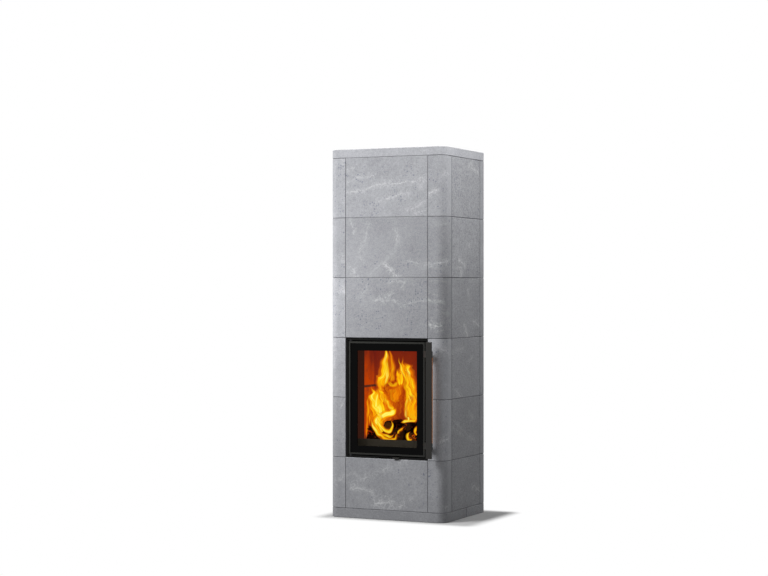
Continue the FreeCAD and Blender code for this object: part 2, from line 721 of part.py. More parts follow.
def split_log(x, z, radius, flat_angle):
    """Log along Y with one split face, turned to an angle above +X."""
    y1 = FIREBOX_BACK - LOG_SETBACK
    y0 = y1 - LOG_LENGTH
    log = rod_y(x, y0, y1, z, 2 * radius)
    slice_floor = z + radius - LOG_FLAT_DEPTH
    cutter = block(x - radius, x + radius, y0, y1, slice_floor, z + radius)
    cutter.rotate(Vector(x, y0, z), Vector(0, 1, 0), 90 - flat_angle)
    return log.cut(cutter)


def firewood_logs():
    """A row of logs on the hearth and two more in the hollows between them."""
    x = LOG_ROW_START
    row = []
    for number, radius in enumerate(LOG_ROW_RADII):
        if number > 0:
            x = next_on_floor(x, LOG_ROW_RADII[number - 1], radius)
        row.append((x, HEARTH_TOP + radius + LOG_GAP, radius))
    top = [nested_on(row[1], row[2], LOG_TOP_RADII[0]), nested_on(row[2], row[3], LOG_TOP_RADII[1])]
    flats = LOG_ROW_FLATS + LOG_TOP_FLATS
    return Part.makeCompound([split_log(*place, flat) for place, flat in zip(row + top, flats)])


def door_frame():
    """Fixed frame: front flange, reveal, sealing landing and the air slide's channel."""
    flange = block(-FRAME_HALF, FRAME_HALF, FRAME_FRONT, FRAME_FRONT + FRAME_PLATE, FRAME_FLOOR, FRAME_TOP)
    flange = flange.cut(block(-REVEAL_HALF, REVEAL_HALF, FRAME_FRONT, FRAME_BACK, REVEAL_FLOOR, REVEAL_TOP))
    wall = REVEAL_WALL
    reveal = block(-REVEAL_HALF - wall, REVEAL_HALF + wall, FRAME_FRONT, FRAME_BACK,
                   REVEAL_FLOOR - wall, REVEAL_TOP + wall)
    reveal = reveal.cut(block(-REVEAL_HALF, REVEAL_HALF, FRAME_FRONT, FRAME_BACK, REVEAL_FLOOR, REVEAL_TOP))
    landing = window_ring(REVEAL_HALF, REVEAL_FLOOR, REVEAL_TOP, LANDING_WIDTH, LANDING_FRONT, FRAME_BACK)
    channel_wall = block(-REVEAL_HALF, REVEAL_HALF, LANDING_FRONT, FRAME_BACK, FRAME_FLOOR, REVEAL_FLOOR)
    front_ledge = block(-REVEAL_HALF, REVEAL_HALF, FRAME_FRONT, FRAME_FRONT + FRAME_PLATE + LEDGE_WIDTH,
                        FRAME_FLOOR, LEDGE_TOP)
    rear_ledge = block(-REVEAL_HALF, REVEAL_HALF, LANDING_FRONT - LEDGE_WIDTH, FRAME_BACK,
                       FRAME_FLOOR, LEDGE_TOP)
    frame = flange.fuse([reveal, landing, channel_wall, front_ledge, rear_ledge]).removeSplitter()
    return frame.cut(frame_openings()).removeSplitter()


def frame_openings():
    """Cutters for the lever slot, the air port, the hinge pins and the catch."""
    half_shank = LEVER_SHANK_WIDTH / 2 + LEVER_TAB_CLEARANCE
    lever_slot = block(LEVER_REST - SLIDE_TRAVEL - half_shank, LEVER_REST + half_shank,
                       FRAME_FRONT, FRAME_FRONT + FRAME_PLATE, LEDGE_TOP, SLIDE_TOP + SLIDE_CLEARANCE)
    port = block(AIR_PORT_START, AIR_PORT_START + AIR_PORT_LENGTH,
                 AIR_PORT_Y - AIR_PORT_DEPTH / 2, AIR_PORT_Y + AIR_PORT_DEPTH / 2,
                 REVEAL_FLOOR - REVEAL_WALL, REVEAL_FLOOR)
    upper_pin = rod_z(PIN_X, PIN_Y, REVEAL_TOP, REVEAL_TOP + REVEAL_WALL, PIN_DIAMETER)
    lower_pin = rod_z(PIN_X, PIN_Y, REVEAL_FLOOR - REVEAL_WALL, REVEAL_FLOOR, PIN_DIAMETER)
    strike = rod_x(REVEAL_HALF, REVEAL_HALF + REVEAL_WALL, PLUNGER_Y, LEAF_MIDDLE,
                   PLUNGER_DIAMETER + 2 * STRIKE_CLEARANCE)
    return [lever_slot, port, upper_pin, lower_pin, strike]


def frame_fibre_seal():
    """Fibre strip between the frame's reveal and the stones, left, right and above."""
    inner_half = REVEAL_HALF + REVEAL_WALL + SEAL_CLEARANCE
    outer_half = PANEL_HALF - STONE_JOINT / 2 - SEAL_CLEARANCE
    inner_top = REVEAL_TOP + REVEAL_WALL + SEAL_CLEARANCE
    outer_top = OPENING_TOP - SEAL_CLEARANCE
    y0 = FRAME_FRONT + FRAME_PLATE + SEAL_CLEARANCE
    strip = block(-outer_half, outer_half, y0, y0 + SEAL_DEPTH, REVEAL_FLOOR, outer_top)
    return strip.cut(block(-inner_half, inner_half, y0, y0 + SEAL_DEPTH, REVEAL_FLOOR, inner_top))


def frame_studs():
    """Four hexagonal spacer studs that tie the landing to the front lining bricks."""
    inner = max(LANDING_HALF, FIREBOX_HALF)
    outer = min(REVEAL_HALF, CORE_HALF)
    x = (inner + outer) / 2
    levels = (HEARTH_TOP + STUD_DROP, REVEAL_TOP - STUD_DROP)
    return Part.makeCompound([hexagon_bar_y(side * x, FRAME_BACK, LINING_FRONT, z, STUD_ACROSS_FLATS)
                              for side in (-1, 1) for z in levels])


def hinge_pins():
    """Upper pin with a collar under the frame, lower pin with the collar that carries the leaf."""
    upper = rod_z(PIN_X, PIN_Y, LEAF_TOP - LEAF_RAIL, REVEAL_TOP + REVEAL_WALL, PIN_DIAMETER)
    shoulder = rod_z(PIN_X, PIN_Y, REVEAL_TOP - PIN_COLLAR_HEIGHT, REVEAL_TOP, PIN_COLLAR_DIAMETER)
    lower = rod_z(PIN_X, PIN_Y, REVEAL_FLOOR - REVEAL_WALL, LEAF_FLOOR + LEAF_RAIL, PIN_DIAMETER)
    collar = rod_z(PIN_X, PIN_Y, REVEAL_FLOOR, LEAF_FLOOR - PIN_END_GAP, PIN_COLLAR_DIAMETER)
    return Part.makeCompound([upper.fuse(shoulder).removeSplitter(), lower.fuse(collar).removeSplitter()])


def door_leaf():
    """Leaf rim: a deep frame with a narrow front lip, pin holes and the plunger's hole."""
    rim = block(-LEAF_HALF, LEAF_HALF, LEAF_FRONT, LEAF_BACK, LEAF_FLOOR, LEAF_TOP)
    rim = rim.makeChamfer(LEAF_EDGE, edges_at_depth(rim, LEAF_FRONT))
    pocket = block(-POCKET_HALF, POCKET_HALF, LEAF_FRONT + LEAF_LIP_THICKNESS, LEAF_BACK,
                   LEAF_FLOOR + LEAF_RAIL, LEAF_TOP - LEAF_RAIL)
    sight_half = LEAF_HALF - LEAF_LIP
    sight = block(-sight_half, sight_half, LEAF_FRONT, LEAF_BACK,
                  LEAF_FLOOR + LEAF_LIP, LEAF_TOP - LEAF_LIP)
    hole = PIN_DIAMETER + 2 * PIN_CLEARANCE
    upper = rod_z(PIN_X, PIN_Y, LEAF_TOP - LEAF_RAIL, LEAF_TOP, hole)
    lower = rod_z(PIN_X, PIN_Y, LEAF_FLOOR, LEAF_FLOOR + LEAF_RAIL, hole)
    catch = rod_x(POCKET_HALF, LEAF_HALF, PLUNGER_Y, LEAF_MIDDLE, PLUNGER_DIAMETER + 2 * PLUNGER_CLEARANCE)
    return rim.cut([pocket, sight, upper, lower, catch]).removeSplitter()


def door_glass():
    """Ceramic glass pane."""
    return block(-GLASS_HALF, GLASS_HALF, GLASS_FRONT, GLASS_BACK, GLASS_FLOOR, GLASS_TOP)


def glass_gaskets():
    """Bedding strip under the lip and tape under the retainer."""
    lip_cover = GLASS_HALF - (LEAF_HALF - LEAF_LIP)
    bed = block(-GLASS_HALF, GLASS_HALF, GLASS_FRONT - GLASS_BED, GLASS_FRONT, GLASS_FLOOR, GLASS_TOP)
    sight_half = GLASS_HALF - lip_cover
    bed = bed.cut(block(-sight_half, sight_half, GLASS_FRONT - GLASS_BED, GLASS_FRONT,
                        LEAF_FLOOR + LEAF_LIP, LEAF_TOP - LEAF_LIP))
    tape = window_ring(GLASS_HALF, GLASS_FLOOR, GLASS_TOP, GLASS_TAPE_WIDTH, GLASS_BACK, RING_FRONT)
    return Part.makeCompound([bed, tape])


def glass_retainer():
    """Ring that holds the glass from behind and carries the door gasket in its groove."""
    ring = window_ring(GLASS_HALF, GLASS_FLOOR, GLASS_TOP, RETAINER_RING_WIDTH, RING_FRONT, LEAF_BACK)
    groove = window_ring(GLASS_HALF - GASKET_INSET, GLASS_FLOOR + GASKET_INSET, GLASS_TOP - GASKET_INSET,
                         GASKET_WIDTH, GROOVE_FLOOR, LEAF_BACK)
    reach = HOUSING_DEPTH / 2 + HOUSING_CLEARANCE
    tall = HOUSING_HEIGHT / 2 + HOUSING_CLEARANCE
    pocket = block(POCKET_HALF - HOUSING_WIDTH - HOUSING_CLEARANCE, GLASS_HALF,
                   PLUNGER_Y - reach, PLUNGER_Y + reach, LEAF_MIDDLE - tall, LEAF_MIDDLE + tall)
    return ring.cut([groove, pocket])


def door_gasket():
    """Rope seal round the back of the leaf, just clear of the frame's landing."""
    inset = GASKET_INSET
    back = LANDING_FRONT - GASKET_LANDING_GAP
    rope = window_ring(GLASS_HALF - inset, GLASS_FLOOR + inset, GLASS_TOP - inset, GASKET_WIDTH,
                       GROOVE_FLOOR, back)
    return rope.makeFillet(GASKET_ROUND, edges_at_depth(rope, back))


def latch_housing():
    """Block behind the leaf's right wall that guides the plunger."""
    reach = HOUSING_DEPTH / 2
    tall = HOUSING_HEIGHT / 2
    body = block(POCKET_HALF - HOUSING_WIDTH, POCKET_HALF, PLUNGER_Y - reach, PLUNGER_Y + reach,
                 LEAF_MIDDLE - tall, LEAF_MIDDLE + tall)
    bore_start = POCKET_HALF - PLUNGER_TAIL - PLUNGER_TRAVEL - HOUSING_CLEARANCE
    bore = rod_x(bore_start, POCKET_HALF, PLUNGER_Y, LEAF_MIDDLE, PLUNGER_DIAMETER + 2 * PLUNGER_CLEARANCE)
    return body.cut(bore)


def latch_plunger():
    """Sprung plunger with a tapered tip, reaching into the frame's reveal."""
    tip_start = PLUNGER_TIP - PLUNGER_TIP_LENGTH
    shank = rod_x(POCKET_HALF - PLUNGER_TAIL, tip_start, PLUNGER_Y, LEAF_MIDDLE, PLUNGER_DIAMETER)
    tip = Part.makeCone(PLUNGER_DIAMETER / 2, PLUNGER_TIP_DIAMETER / 2, PLUNGER_TIP_LENGTH,
                        Vector(tip_start, PLUNGER_Y, LEAF_MIDDLE), Vector(1, 0, 0))
    return shank.fuse(tip).removeSplitter()


def handle_bar():
    """Tall flat steel bar."""
    half = HANDLE_LENGTH / 2
    bar = block(HANDLE_LEFT, HANDLE_RIGHT, HANDLE_FRONT, HANDLE_BACK,
                HANDLE_MIDDLE - half, HANDLE_MIDDLE + half)
    return bar.makeFillet(HANDLE_EDGE, edges_at_depth(bar, HANDLE_FRONT))


def handle_grip():
    """Wooden grip behind the bar, between the two arms."""
    half = (ARM_SPACING - ARM_HEIGHT) / 2
    back = HANDLE_BACK + GRIP_THICKNESS
    grip = block(HANDLE_LEFT, HANDLE_RIGHT, HANDLE_BACK, back, HANDLE_MIDDLE - half, HANDLE_MIDDLE + half)
    return grip.makeFillet(GRIP_ROUND, edges_along_z(grip, lambda x, y: abs(y - back) < 1e-6))


def handle_arm(z):
    """Bent arm from the leaf's edge to the back of the bar."""
    x0 = LEAF_HALF
    x1 = LEAF_HALF + ARM_THICKNESS
    root = LEAF_FRONT + ARM_ROOT_DEPTH
    knee = FRONT - ARM_RISE
    pad_back = HANDLE_BACK + ARM_PAD
    plan = outline([
        (x0, root, z),
        (x0, knee - ARM_THICKNESS, z),
        (HANDLE_LEFT, HANDLE_BACK, z),
        (HANDLE_RIGHT, HANDLE_BACK, z),
        (HANDLE_RIGHT, pad_back, z),
        (HANDLE_LEFT + ARM_PAD, pad_back, z),
        (x1, knee, z),
        (x1, root, z),
    ])
    return prism(plan, ARM_HEIGHT)


def handle_arms():
    """Upper and lower arm."""
    upper = HANDLE_MIDDLE + ARM_SPACING / 2 - ARM_HEIGHT / 2
    lower = HANDLE_MIDDLE - ARM_SPACING / 2 - ARM_HEIGHT / 2
    return Part.makeCompound([handle_arm(lower), handle_arm(upper)])


def air_slide():
    """Damper plate: a window beside a solid end that covers the frame's port when slid left."""
    plate = block(AIR_PORT_START - SLIDE_MARGIN, SLIDE_END, SLIDE_FRONT, SLIDE_BACK, SLIDE_FLOOR, SLIDE_TOP)
    return plate.cut(block(AIR_PORT_START, AIR_PORT_START + AIR_PORT_LENGTH,
                           AIR_PORT_Y - AIR_PORT_DEPTH / 2, AIR_PORT_Y + AIR_PORT_DEPTH / 2,
                           SLIDE_FLOOR, SLIDE_TOP))


def air_lever():
    """Finger tab in front of the frame on a flat shank through the slot."""
    tab_back = FRONT - LEVER_TAB_CLEARANCE
    tab_front = tab_back - LEVER_TAB_THICKNESS
    half = LEVER_SHANK_WIDTH / 2
    shank = block(LEVER_REST - half, LEVER_REST + half, tab_back, SLIDE_FRONT, SLIDE_FLOOR, SLIDE_TOP)
    floor = SLIDE_FLOOR - LEVER_TAB_DROP
    top = SLIDE_TOP + LEVER_TAB_RISE
    plan = outline([
        (LEVER_REST - LEVER_TAB_FOOT / 2, tab_front, floor),
        (LEVER_REST + LEVER_TAB_FOOT / 2, tab_front, floor),
        (LEVER_REST + LEVER_TAB_WIDTH / 2, tab_front, top),
        (LEVER_REST - LEVER_TAB_WIDTH / 2, tab_front, top),
    ])
    tab = Part.Face(plan).extrude(Vector(0, tab_back - tab_front, 0))
    tab = tab.makeFillet(LEVER_TAB_EDGE, edges_at_depth(tab, tab_front))
    return shank.fuse(tab).removeSplitter()


def stone_nodes():
    """Every stone of the shell by name."""
    nodes = {"plinth_front_slab": plinth_front_slab(), "plinth_rear_slab": plinth_rear_slab()}
    for course in range(1, COURSE_COUNT + 1):
        right = corner_stone(course)
        nodes["corner_stone_right_course_%d" % course] = right
        nodes["corner_stone_left_course_%d" % course] = mirrored(right)
        nodes["side_panels_course_%d" % course] = side_panels(course)
        if course not in DOOR_COURSES:
            nodes["front_panel_course_%d" % course] = front_panel(course)
    nodes["back_slab_course_1"] = back_slab_with_flue()
    nodes["back_slabs_upper"] = upper_back_slabs()
    nodes["top_slab"] = top_slab()
    return nodes


PIECES = (
    base_blocks, collector_cover, hearth_slab, firebox_side_bricks, firebox_back_bricks, firebox_lintel,
    throat_slab, riser_blocks, core_cap, rear_mass_blocks, insulation_boards, flue_collar, air_inlet_sleeve,
    grate, ash_pan, log_retainer, firewood_logs, door_frame, frame_fibre_seal, frame_studs, hinge_pins,
    door_leaf, door_glass, glass_gaskets, glass_retainer, door_gasket, latch_housing, latch_plunger,
    handle_bar, handle_grip, handle_arms, air_slide, air_lever,
)


def main():
    """Builds every piece and writes one file per named node."""
    os.makedirs("parts", exist_ok=True)
    nodes = stone_nodes()
    for piece in PIECES:
        nodes[piece.__name__] = piece()
    for name, shape in nodes.items():
        shape.exportStep(os.path.join("parts", name + ".step"))
        print("%-32s solids %2d  volume %.1f cm3" % (name, len(shape.Solids), shape.Volume / 1000))
    print("nodes", len(nodes))


main()
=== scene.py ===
import logging
import math
import random
from dataclasses import dataclass, field
from enum import Enum
from typing import Iterable, Sequence

import bmesh
import bpy
from mathutils import Matrix, Vector, noise


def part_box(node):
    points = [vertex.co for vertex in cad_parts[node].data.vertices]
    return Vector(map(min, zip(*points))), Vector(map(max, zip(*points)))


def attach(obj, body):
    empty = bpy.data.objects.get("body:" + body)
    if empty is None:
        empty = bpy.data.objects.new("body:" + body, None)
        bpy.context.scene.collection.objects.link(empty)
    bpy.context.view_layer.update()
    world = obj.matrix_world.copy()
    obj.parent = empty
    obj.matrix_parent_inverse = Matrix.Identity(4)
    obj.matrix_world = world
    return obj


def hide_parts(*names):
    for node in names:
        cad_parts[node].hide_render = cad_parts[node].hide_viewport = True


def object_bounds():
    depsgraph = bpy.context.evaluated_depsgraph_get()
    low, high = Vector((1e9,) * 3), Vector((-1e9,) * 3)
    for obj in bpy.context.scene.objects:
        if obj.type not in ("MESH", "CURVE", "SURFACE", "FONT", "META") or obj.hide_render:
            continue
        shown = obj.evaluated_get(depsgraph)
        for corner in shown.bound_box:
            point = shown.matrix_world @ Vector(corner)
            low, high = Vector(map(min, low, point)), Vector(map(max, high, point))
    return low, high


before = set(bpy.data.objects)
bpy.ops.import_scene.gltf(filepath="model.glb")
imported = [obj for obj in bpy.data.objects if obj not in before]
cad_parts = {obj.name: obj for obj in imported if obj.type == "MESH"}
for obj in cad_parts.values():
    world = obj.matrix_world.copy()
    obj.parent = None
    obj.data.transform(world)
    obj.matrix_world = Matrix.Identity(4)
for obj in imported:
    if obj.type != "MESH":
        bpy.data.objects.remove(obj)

# Slim soapstone masonry heater with a fire burning behind its glazed door.
# Metres, +Z up, +X to the right seen from the front, -Y towards the viewer.

CAD_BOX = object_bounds()
LOG = logging.getLogger("masonry_heater")
MILLIMETRE = 0.001
TINY = 1e-5
NOISE_MIDDLE = 0.5
BLACK = (0.0, 0.0, 0.0)
WHITE = (1.0, 1.0, 1.0)
FLAME_LAYERS = ("burn", "body", "seed", "half", "run")

Colour = tuple[float, float, float]
Point = tuple[float, float, float]
Span = tuple[float, float]
Socket = bpy.types.NodeSocket
Inputs = dict[str, object]


class Body(Enum):
    """Bodies that new pieces ride on."""

    SHELL = "root"
    DOOR = "door"


class Slot(Enum):
    """Material slots of the record."""

    CHARRED_WOOD = "charred_wood"
    FIBRE = "fibre_seal"
    PIN_STEEL = "pin_steel"


def srgb(red: int, green: int, blue: int) -> Colour:
    """Gives the linear colour of a screen colour.

    Args:
        red: Red, 0 to 255.
        green: Green, 0 to 255.
        blue: Blue, 0 to 255.

    Returns:
        The three linear parts, 0 to 1.
    """
    parts = (channel / 255.0 for channel in (red, green, blue))
    return tuple(p / 12.92 if p <= 0.04045 else ((p + 0.055) / 1.055) ** 2.4 for p in parts)


def shade(colour: Colour, factor: float) -> Colour:
    """Gives a colour made lighter or darker."""
    return tuple(factor * part for part in colour)


def node_object(name: str) -> bpy.types.Object:
    """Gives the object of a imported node."""
    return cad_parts[name]


def dress(material: bpy.types.Material, *names: str) -> None:
    """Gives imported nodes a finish.

    Args:
        material: The finish.
        names: The nodes that get it.
    """
    for name in names:
        slots = node_object(name).data.materials
        slots.clear()
        slots.append(material)
        LOG.info("dressed %s in %s", name, material.name)


def join_meshes(meshes: Iterable[bmesh.types.BMesh]) -> bmesh.types.BMesh:
    """Joins meshes into one.

    Args:
        meshes: The meshes, which are freed here.

    Returns:
        One mesh that holds them all.
    """
    joined = bmesh.new()
    carrier = bpy.data.meshes.new("carrier")
    for bm in meshes:
        bm.to_mesh(carrier)
        bm.free()
        joined.from_mesh(carrier)
    bpy.data.meshes.remove(carrier)
    return joined


def new_piece(name: str, bm: bmesh.types.BMesh, material: bpy.types.Material, body: Body,
              smooth: bool = True) -> bpy.types.Object:
    """Turns a finished mesh into a piece that rides on a body.

    Args:
        name: The piece's name.
        bm: Its mesh, which is freed here.
        material: Its finish.
        body: The body that carries it.
        smooth: Whether its faces are shaded smooth.

    Returns:
        The new object, at the origin.
    """
    for face in bm.faces:
        face.smooth = smooth
    mesh = bpy.data.meshes.new(name)
    bm.to_mesh(mesh)
    bm.free()
    mesh.materials.append(material)
    piece = bpy.data.objects.new(name, mesh)
    bpy.context.scene.collection.objects.link(piece)
    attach(piece, body.value)
    LOG.info("built %s on %s: %d faces", name, body.value, len(mesh.polygons))
    return piece


@dataclass(frozen=True)
class Noise:
    """Soft noise: blobs per metre, its finer layers, how strong those are, and how far it is stirred."""

    scale: float
    detail: float = 3.0
    roughness: float = 0.5
    stir: float = 0.0


class Nodes:
    """Wires the nodes of one material in short calls."""

    def __init__(self, name: str) -> None:
        """Starts an empty material.

        Args:
            name: The material's name.
        """
        self.material = bpy.data.materials.new(name)
        self.material.use_nodes = True
        self.tree = self.material.node_tree
        self.tree.nodes.clear()
        self.output = self.tree.nodes.new("ShaderNodeOutputMaterial")

    def add(self, kind: str, inputs: dict | None = None, **settings: object) -> bpy.types.Node:
        """Adds a node.

        Args:
            kind: The node's type, without its ShaderNode prefix.
            inputs: Values or sockets for its inputs, by name or number.
            settings: The node's own properties.

        Returns:
            The node.
        """
        node = self.tree.nodes.new("ShaderNode" + kind)
        for key, value in settings.items():
            setattr(node, key, value)
        for key, value in (inputs or {}).items():
            self.feed(node.inputs[key], value)
        return node

    def feed(self, socket: Socket, value: object) -> None:
        """Links a socket to another, or sets its plain value.

        Args:
            socket: The input to fill.
            value: A socket, a number or a colour.
        """
        if isinstance(value, bpy.types.NodeSocket):
            self.tree.links.new(value, socket)
        elif socket.type == "RGBA" and len(value) == 3:
            socket.default_value = (*value, 1.0)
        else:
            socket.default_value = value

    def here(self) -> Socket:
        """Gives the place on the piece, in metres."""
        return self.add("TexCoord").outputs["Object"]

    def attribute(self, name: str) -> Socket:
        """Gives a number that the mesh carries."""
        return self.add("Attribute", attribute_name=name).outputs["Fac"]

    def axes(self, vector: Socket) -> tuple[Socket, Socket, Socket]:
        """Splits a vector into its three parts."""
        split = self.add("SeparateXYZ", {0: vector})
        return split.outputs[0], split.outputs[1], split.outputs[2]

    def placed(self, vector: Socket, location: Point = (0, 0, 0), rotation: Point = (0, 0, 0),
               scale: Point = (1, 1, 1)) -> Socket:
        """Moves, turns and stretches coordinates.

        Args:
            vector: The coordinates.
            location: Shift in metres.
            rotation: Turn in radians.
            scale: Stretch along each axis.

        Returns:
            The new coordinates.
        """
        inputs = {"Vector": vector, "Location": location, "Rotation": rotation, "Scale": scale}
        return self.add("Mapping", inputs).outputs[0]

    def math(self, operation: str, first: object, second: object = 0.0, clamp: bool = False) -> Socket:
        """Works out one sum.

        Args:
            operation: The Math node's operation.
            first: First number or socket.
            second: Second number or socket.
            clamp: Whether to keep the result in 0 to 1.

        Returns:
            The result.
        """
        return self.add("Math", {0: first, 1: second}, operation=operation, use_clamp=clamp).outputs[0]

    def vector(self, operation: str, first: object, second: object) -> Socket:
        """Works out one sum of vectors.

        Args:
            operation: The Vector Math node's operation.
            first: First vector or socket.
            second: Second vector or socket, or the number that SCALE takes.

        Returns:
            The vector, or the number that DOT_PRODUCT and DISTANCE give.
        """
        other = "Scale" if operation == "SCALE" else 1
        node = self.add("VectorMath", {0: first, other: second}, operation=operation)
        return node.outputs["Value" if operation in ("DOT_PRODUCT", "DISTANCE") else 0]

    def product(self, *values: object) -> Socket:
        """Multiplies two or more values.

        Args:
            values: Numbers and sockets, a socket first.

        Returns:
            The product.
        """
        result = values[0]
        for value in values[1:]:
            result = self.math("MULTIPLY", result, value)
        return result

    def scaled(self, value: Socket, gain: float, start: float) -> Socket:
        """Gives a gain times a value, plus a start."""
        return self.math("ADD", self.math("MULTIPLY", value, gain), start)

    def apart(self, first: object, second: object) -> Socket:
        """Gives how far apart two numbers are."""
        return self.math("ABSOLUTE", self.math("SUBTRACT", first, second))

    def ease(self, value: Socket, span: Span) -> Socket:
        """Rises smoothly from 0 to 1 over a span, which may also run downwards.

        Args:
            value: The number to test.
            span: Where the result is 0, and where it is 1.

        Returns:
            The eased value.
        """
        start, end = (0.0, 1.0) if span[0] < span[1] else (1.0, 0.0)
        inputs = {"Value": value, "From Min": min(span), "From Max": max(span),
                  "To Min": start, "To Max": end}
        return self.add("MapRange", inputs, interpolation_type="SMOOTHSTEP").outputs[0]

    def noise(self, vector: Socket, layer: Noise) -> bpy.types.Node:
        """Adds one layer of soft noise.

        Args:
            vector: The coordinates.
            layer: The noise's own sizes.

        Returns:
            The noise node.
        """
        return self.add("TexNoise", {"Vector": vector, "Scale": layer.scale, "Detail": layer.detail,
                                     "Roughness": layer.roughness, "Distortion": layer.stir})

    def cloud(self, vector: Socket, layer: Noise) -> Socket:
        """Gives soft noise from 0 to 1."""
        return self.noise(vector, layer).outputs[0]

    def stirred(self, vector: Socket, seeded: Socket, layer: Noise, reach: float) -> Socket:
        """Bends coordinates by soft noise.

        Args:
            vector: The coordinates to bend.
            seeded: The coordinates that the noise reads.
            layer: The noise.
            reach: How far the bends reach, in metres.

        Returns:
            The bent coordinates.
        """
        push = self.vector("SUBTRACT", self.noise(seeded, layer).outputs["Color"], (NOISE_MIDDLE,) * 3)
        return self.vector("ADD", vector, self.vector("SCALE", push, reach))

    def cells(self, vector: Socket, scale: float, feature: str = "F1") -> bpy.types.Node:
        """Gives a pattern of random cells.

        Args:
            vector: The coordinates.
            scale: Cells per metre.
            feature: What is measured in each cell.

        Returns:
            The Voronoi node.
        """
        return self.add("TexVoronoi", {"Vector": vector, "Scale": scale}, feature=feature)

    def cracks(self, vector: Socket, scale: float) -> Socket:
        """Gives the distance to the nearest crack between random cells."""
        return self.cells(vector, scale, "DISTANCE_TO_EDGE").outputs["Distance"]

    def ramp(self, value: Socket, stops: Sequence[tuple[float, Colour]]) -> Socket:
        """Turns a number into a colour.

        Args:
            value: The number, 0 to 1.
            stops: Places and their colours.

        Returns:
            The colour.
        """
        node = self.add("ValToRGB", {0: value})
        elements = node.color_ramp.elements
        while len(elements) < len(stops):
            elements.new(0.5)
        for element, (place, colour) in zip(elements, stops):
            element.position = place
            element.color = (*colour, 1.0)
        return node.outputs[0]

    def mix(self, share: object, first: object, second: object) -> Socket:
        """Mixes two colours.

        Args:
            share: How much of the second.
            first: First colour or socket.
            second: Second colour or socket.

        Returns:
            The mixed colour.
        """
        node = self.add("Mix", data_type="RGBA", clamp_factor=True)
        for number, value in ((0, share), (6, first), (7, second)):
            self.feed(node.inputs[number], value)
        return node.outputs[2]

    def shades(self, share: Socket, colour: Colour, factors: Span) -> Socket:
        """Mixes two shades of one colour."""
        return self.mix(share, shade(colour, factors[0]), shade(colour, factors[1]))

    def relief(self, height: Socket, depth: float, strength: float) -> Socket:
        """Gives a bumped normal.

        Args:
            height: The height, 0 to 1.
            depth: What height 1 stands for, in metres.
            strength: How much of it shows.

        Returns:
            The normal.
        """
        return self.add("Bump", {"Height": height, "Distance": depth, "Strength": strength}).outputs[0]

    def surface(self, inputs: Inputs) -> bpy.types.Material:
        """Closes the material with one surface shader.

        Args:
            inputs: Values or sockets of the Principled shader.

        Returns:
            The finished material.
        """
        shader = self.add("BsdfPrincipled", inputs)
        self.tree.links.new(shader.outputs[0], self.output.inputs["Surface"])
        return self.material


@dataclass(frozen=True)
class Finish:
    """A material that builds itself; each kind wires its own surface."""

    name: str

    def build(self) -> bpy.types.Material:
        """Makes the material."""
        n = Nodes(self.name)
        return n.surface(self.wire(n))

    def wire(self, n: Nodes) -> Inputs:
        """Wires the surface.

        Args:
            n: The material's nodes.

        Returns:
            The shader's inputs.
        """
        raise NotImplementedError


class Face(Enum):
    """The veined face of a stone: the shares of X and Y that run along it, and where they start."""

    FRONT = (1.0, 0.0, 0.0)
    SIDE = (0.0, 1.0, 0.0)
    RIGHT_CORNER = (1.0, 1.0, 0.233)
    LEFT_CORNER = (-1.0, 1.0, 0.233)


@dataclass(frozen=True)
class Vein:
    """One pale vein: a bent line along and up a stone's face and its width, in millimetres."""

    line: tuple[tuple[int, int], ...]
    width: float
    strength: float

    def distance(self, n: Nodes, place: Socket) -> Socket:
        """Measures how far each place lies from the vein.

        Args:
            n: The material's nodes.
            place: Coordinates along the face, 0 and up.

        Returns:
            The distance in metres.
        """
        nearest = None
        for (x0, z0), (x1, z1) in zip(self.line, self.line[1:]):
            start = Vector((x0, 0.0, z0)) * MILLIMETRE
            run = Vector((x1, 0.0, z1)) * MILLIMETRE - start
            offset = n.vector("SUBTRACT", place, start)
            share = n.vector("DOT_PRODUCT", offset, run / run.length_squared)
            foot = n.vector("SCALE", run, n.math("MULTIPLY", share, 1.0, clamp=True))
            away = n.vector("DISTANCE", offset, foot)
            nearest = n.math("MINIMUM", nearest, away) if nearest else away
        return nearest


@dataclass(frozen=True)
class StoneLook:
    """What sets one stone apart: its lightness, which is partly the stone's own grey and partly painted light
    and shade, how many specks it has, and its veins.
    """

    # tone holds painted light and shade besides each stone's own grey: lighter on lit faces, darker on the
    # shaded sides
    tone: float = 1.0
    specks: float = 0.45
    veins: tuple[Vein, ...] = ()


@dataclass(frozen=True)
class ChanceVeins:
    """Veins and pale clouds that lie by chance, fewer on a stone with veins of its own."""

    lean: Span = (-0.5, 0.5)
    tilt: Span = (0.25, 0.8)
    stretch: Point = (1.0, 1.0, 2.0)
    ridges: Noise = Noise(4.0, 7.0, 0.66, 0.8)
    patches: Noise = Noise(6.0)
    patch_span: Span = (0.50, 0.68)
    breaks: Noise = Noise(60.0, 4.0, 0.65)
    break_span: Span = (0.40, 0.64)
    thread_span: Span = (0.012, 0.0)
    thread: float = 0.75
    haze_span: Span = (0.08, 0.0)
    haze: float = 0.30
    few: float = 0.35
    many: float = 0.8

    def share(self, n: Nodes, stone: Socket, draw: random.Random, look: StoneLook) -> Socket:
        """Works out where they lie.

        Args:
            n: The material's nodes.
            stone: Coordinates shifted for this stone.
            draw: The stone's own random numbers.
            look: What sets the stone apart.

        Returns:
            The share of vein colour.
        """
        turned = n.placed(stone, rotation=(draw.uniform(*self.lean), draw.uniform(*self.tilt), 0.0))
        drawn_out = n.placed(turned, scale=self.stretch)
        ridge = n.apart(n.cloud(drawn_out, self.ridges), NOISE_MIDDLE)
        patches = n.ease(n.cloud(stone, self.patches), self.patch_span)
        broken = n.ease(n.cloud(stone, self.breaks), self.break_span)
        amount = self.few if look.veins else self.many
        thread = n.product(n.ease(ridge, self.thread_span), patches, broken, self.thread * amount)
        haze = n.product(n.ease(ridge, self.haze_span), patches, broken, self.haze * amount)
        return n.math("MAXIMUM", thread, haze)


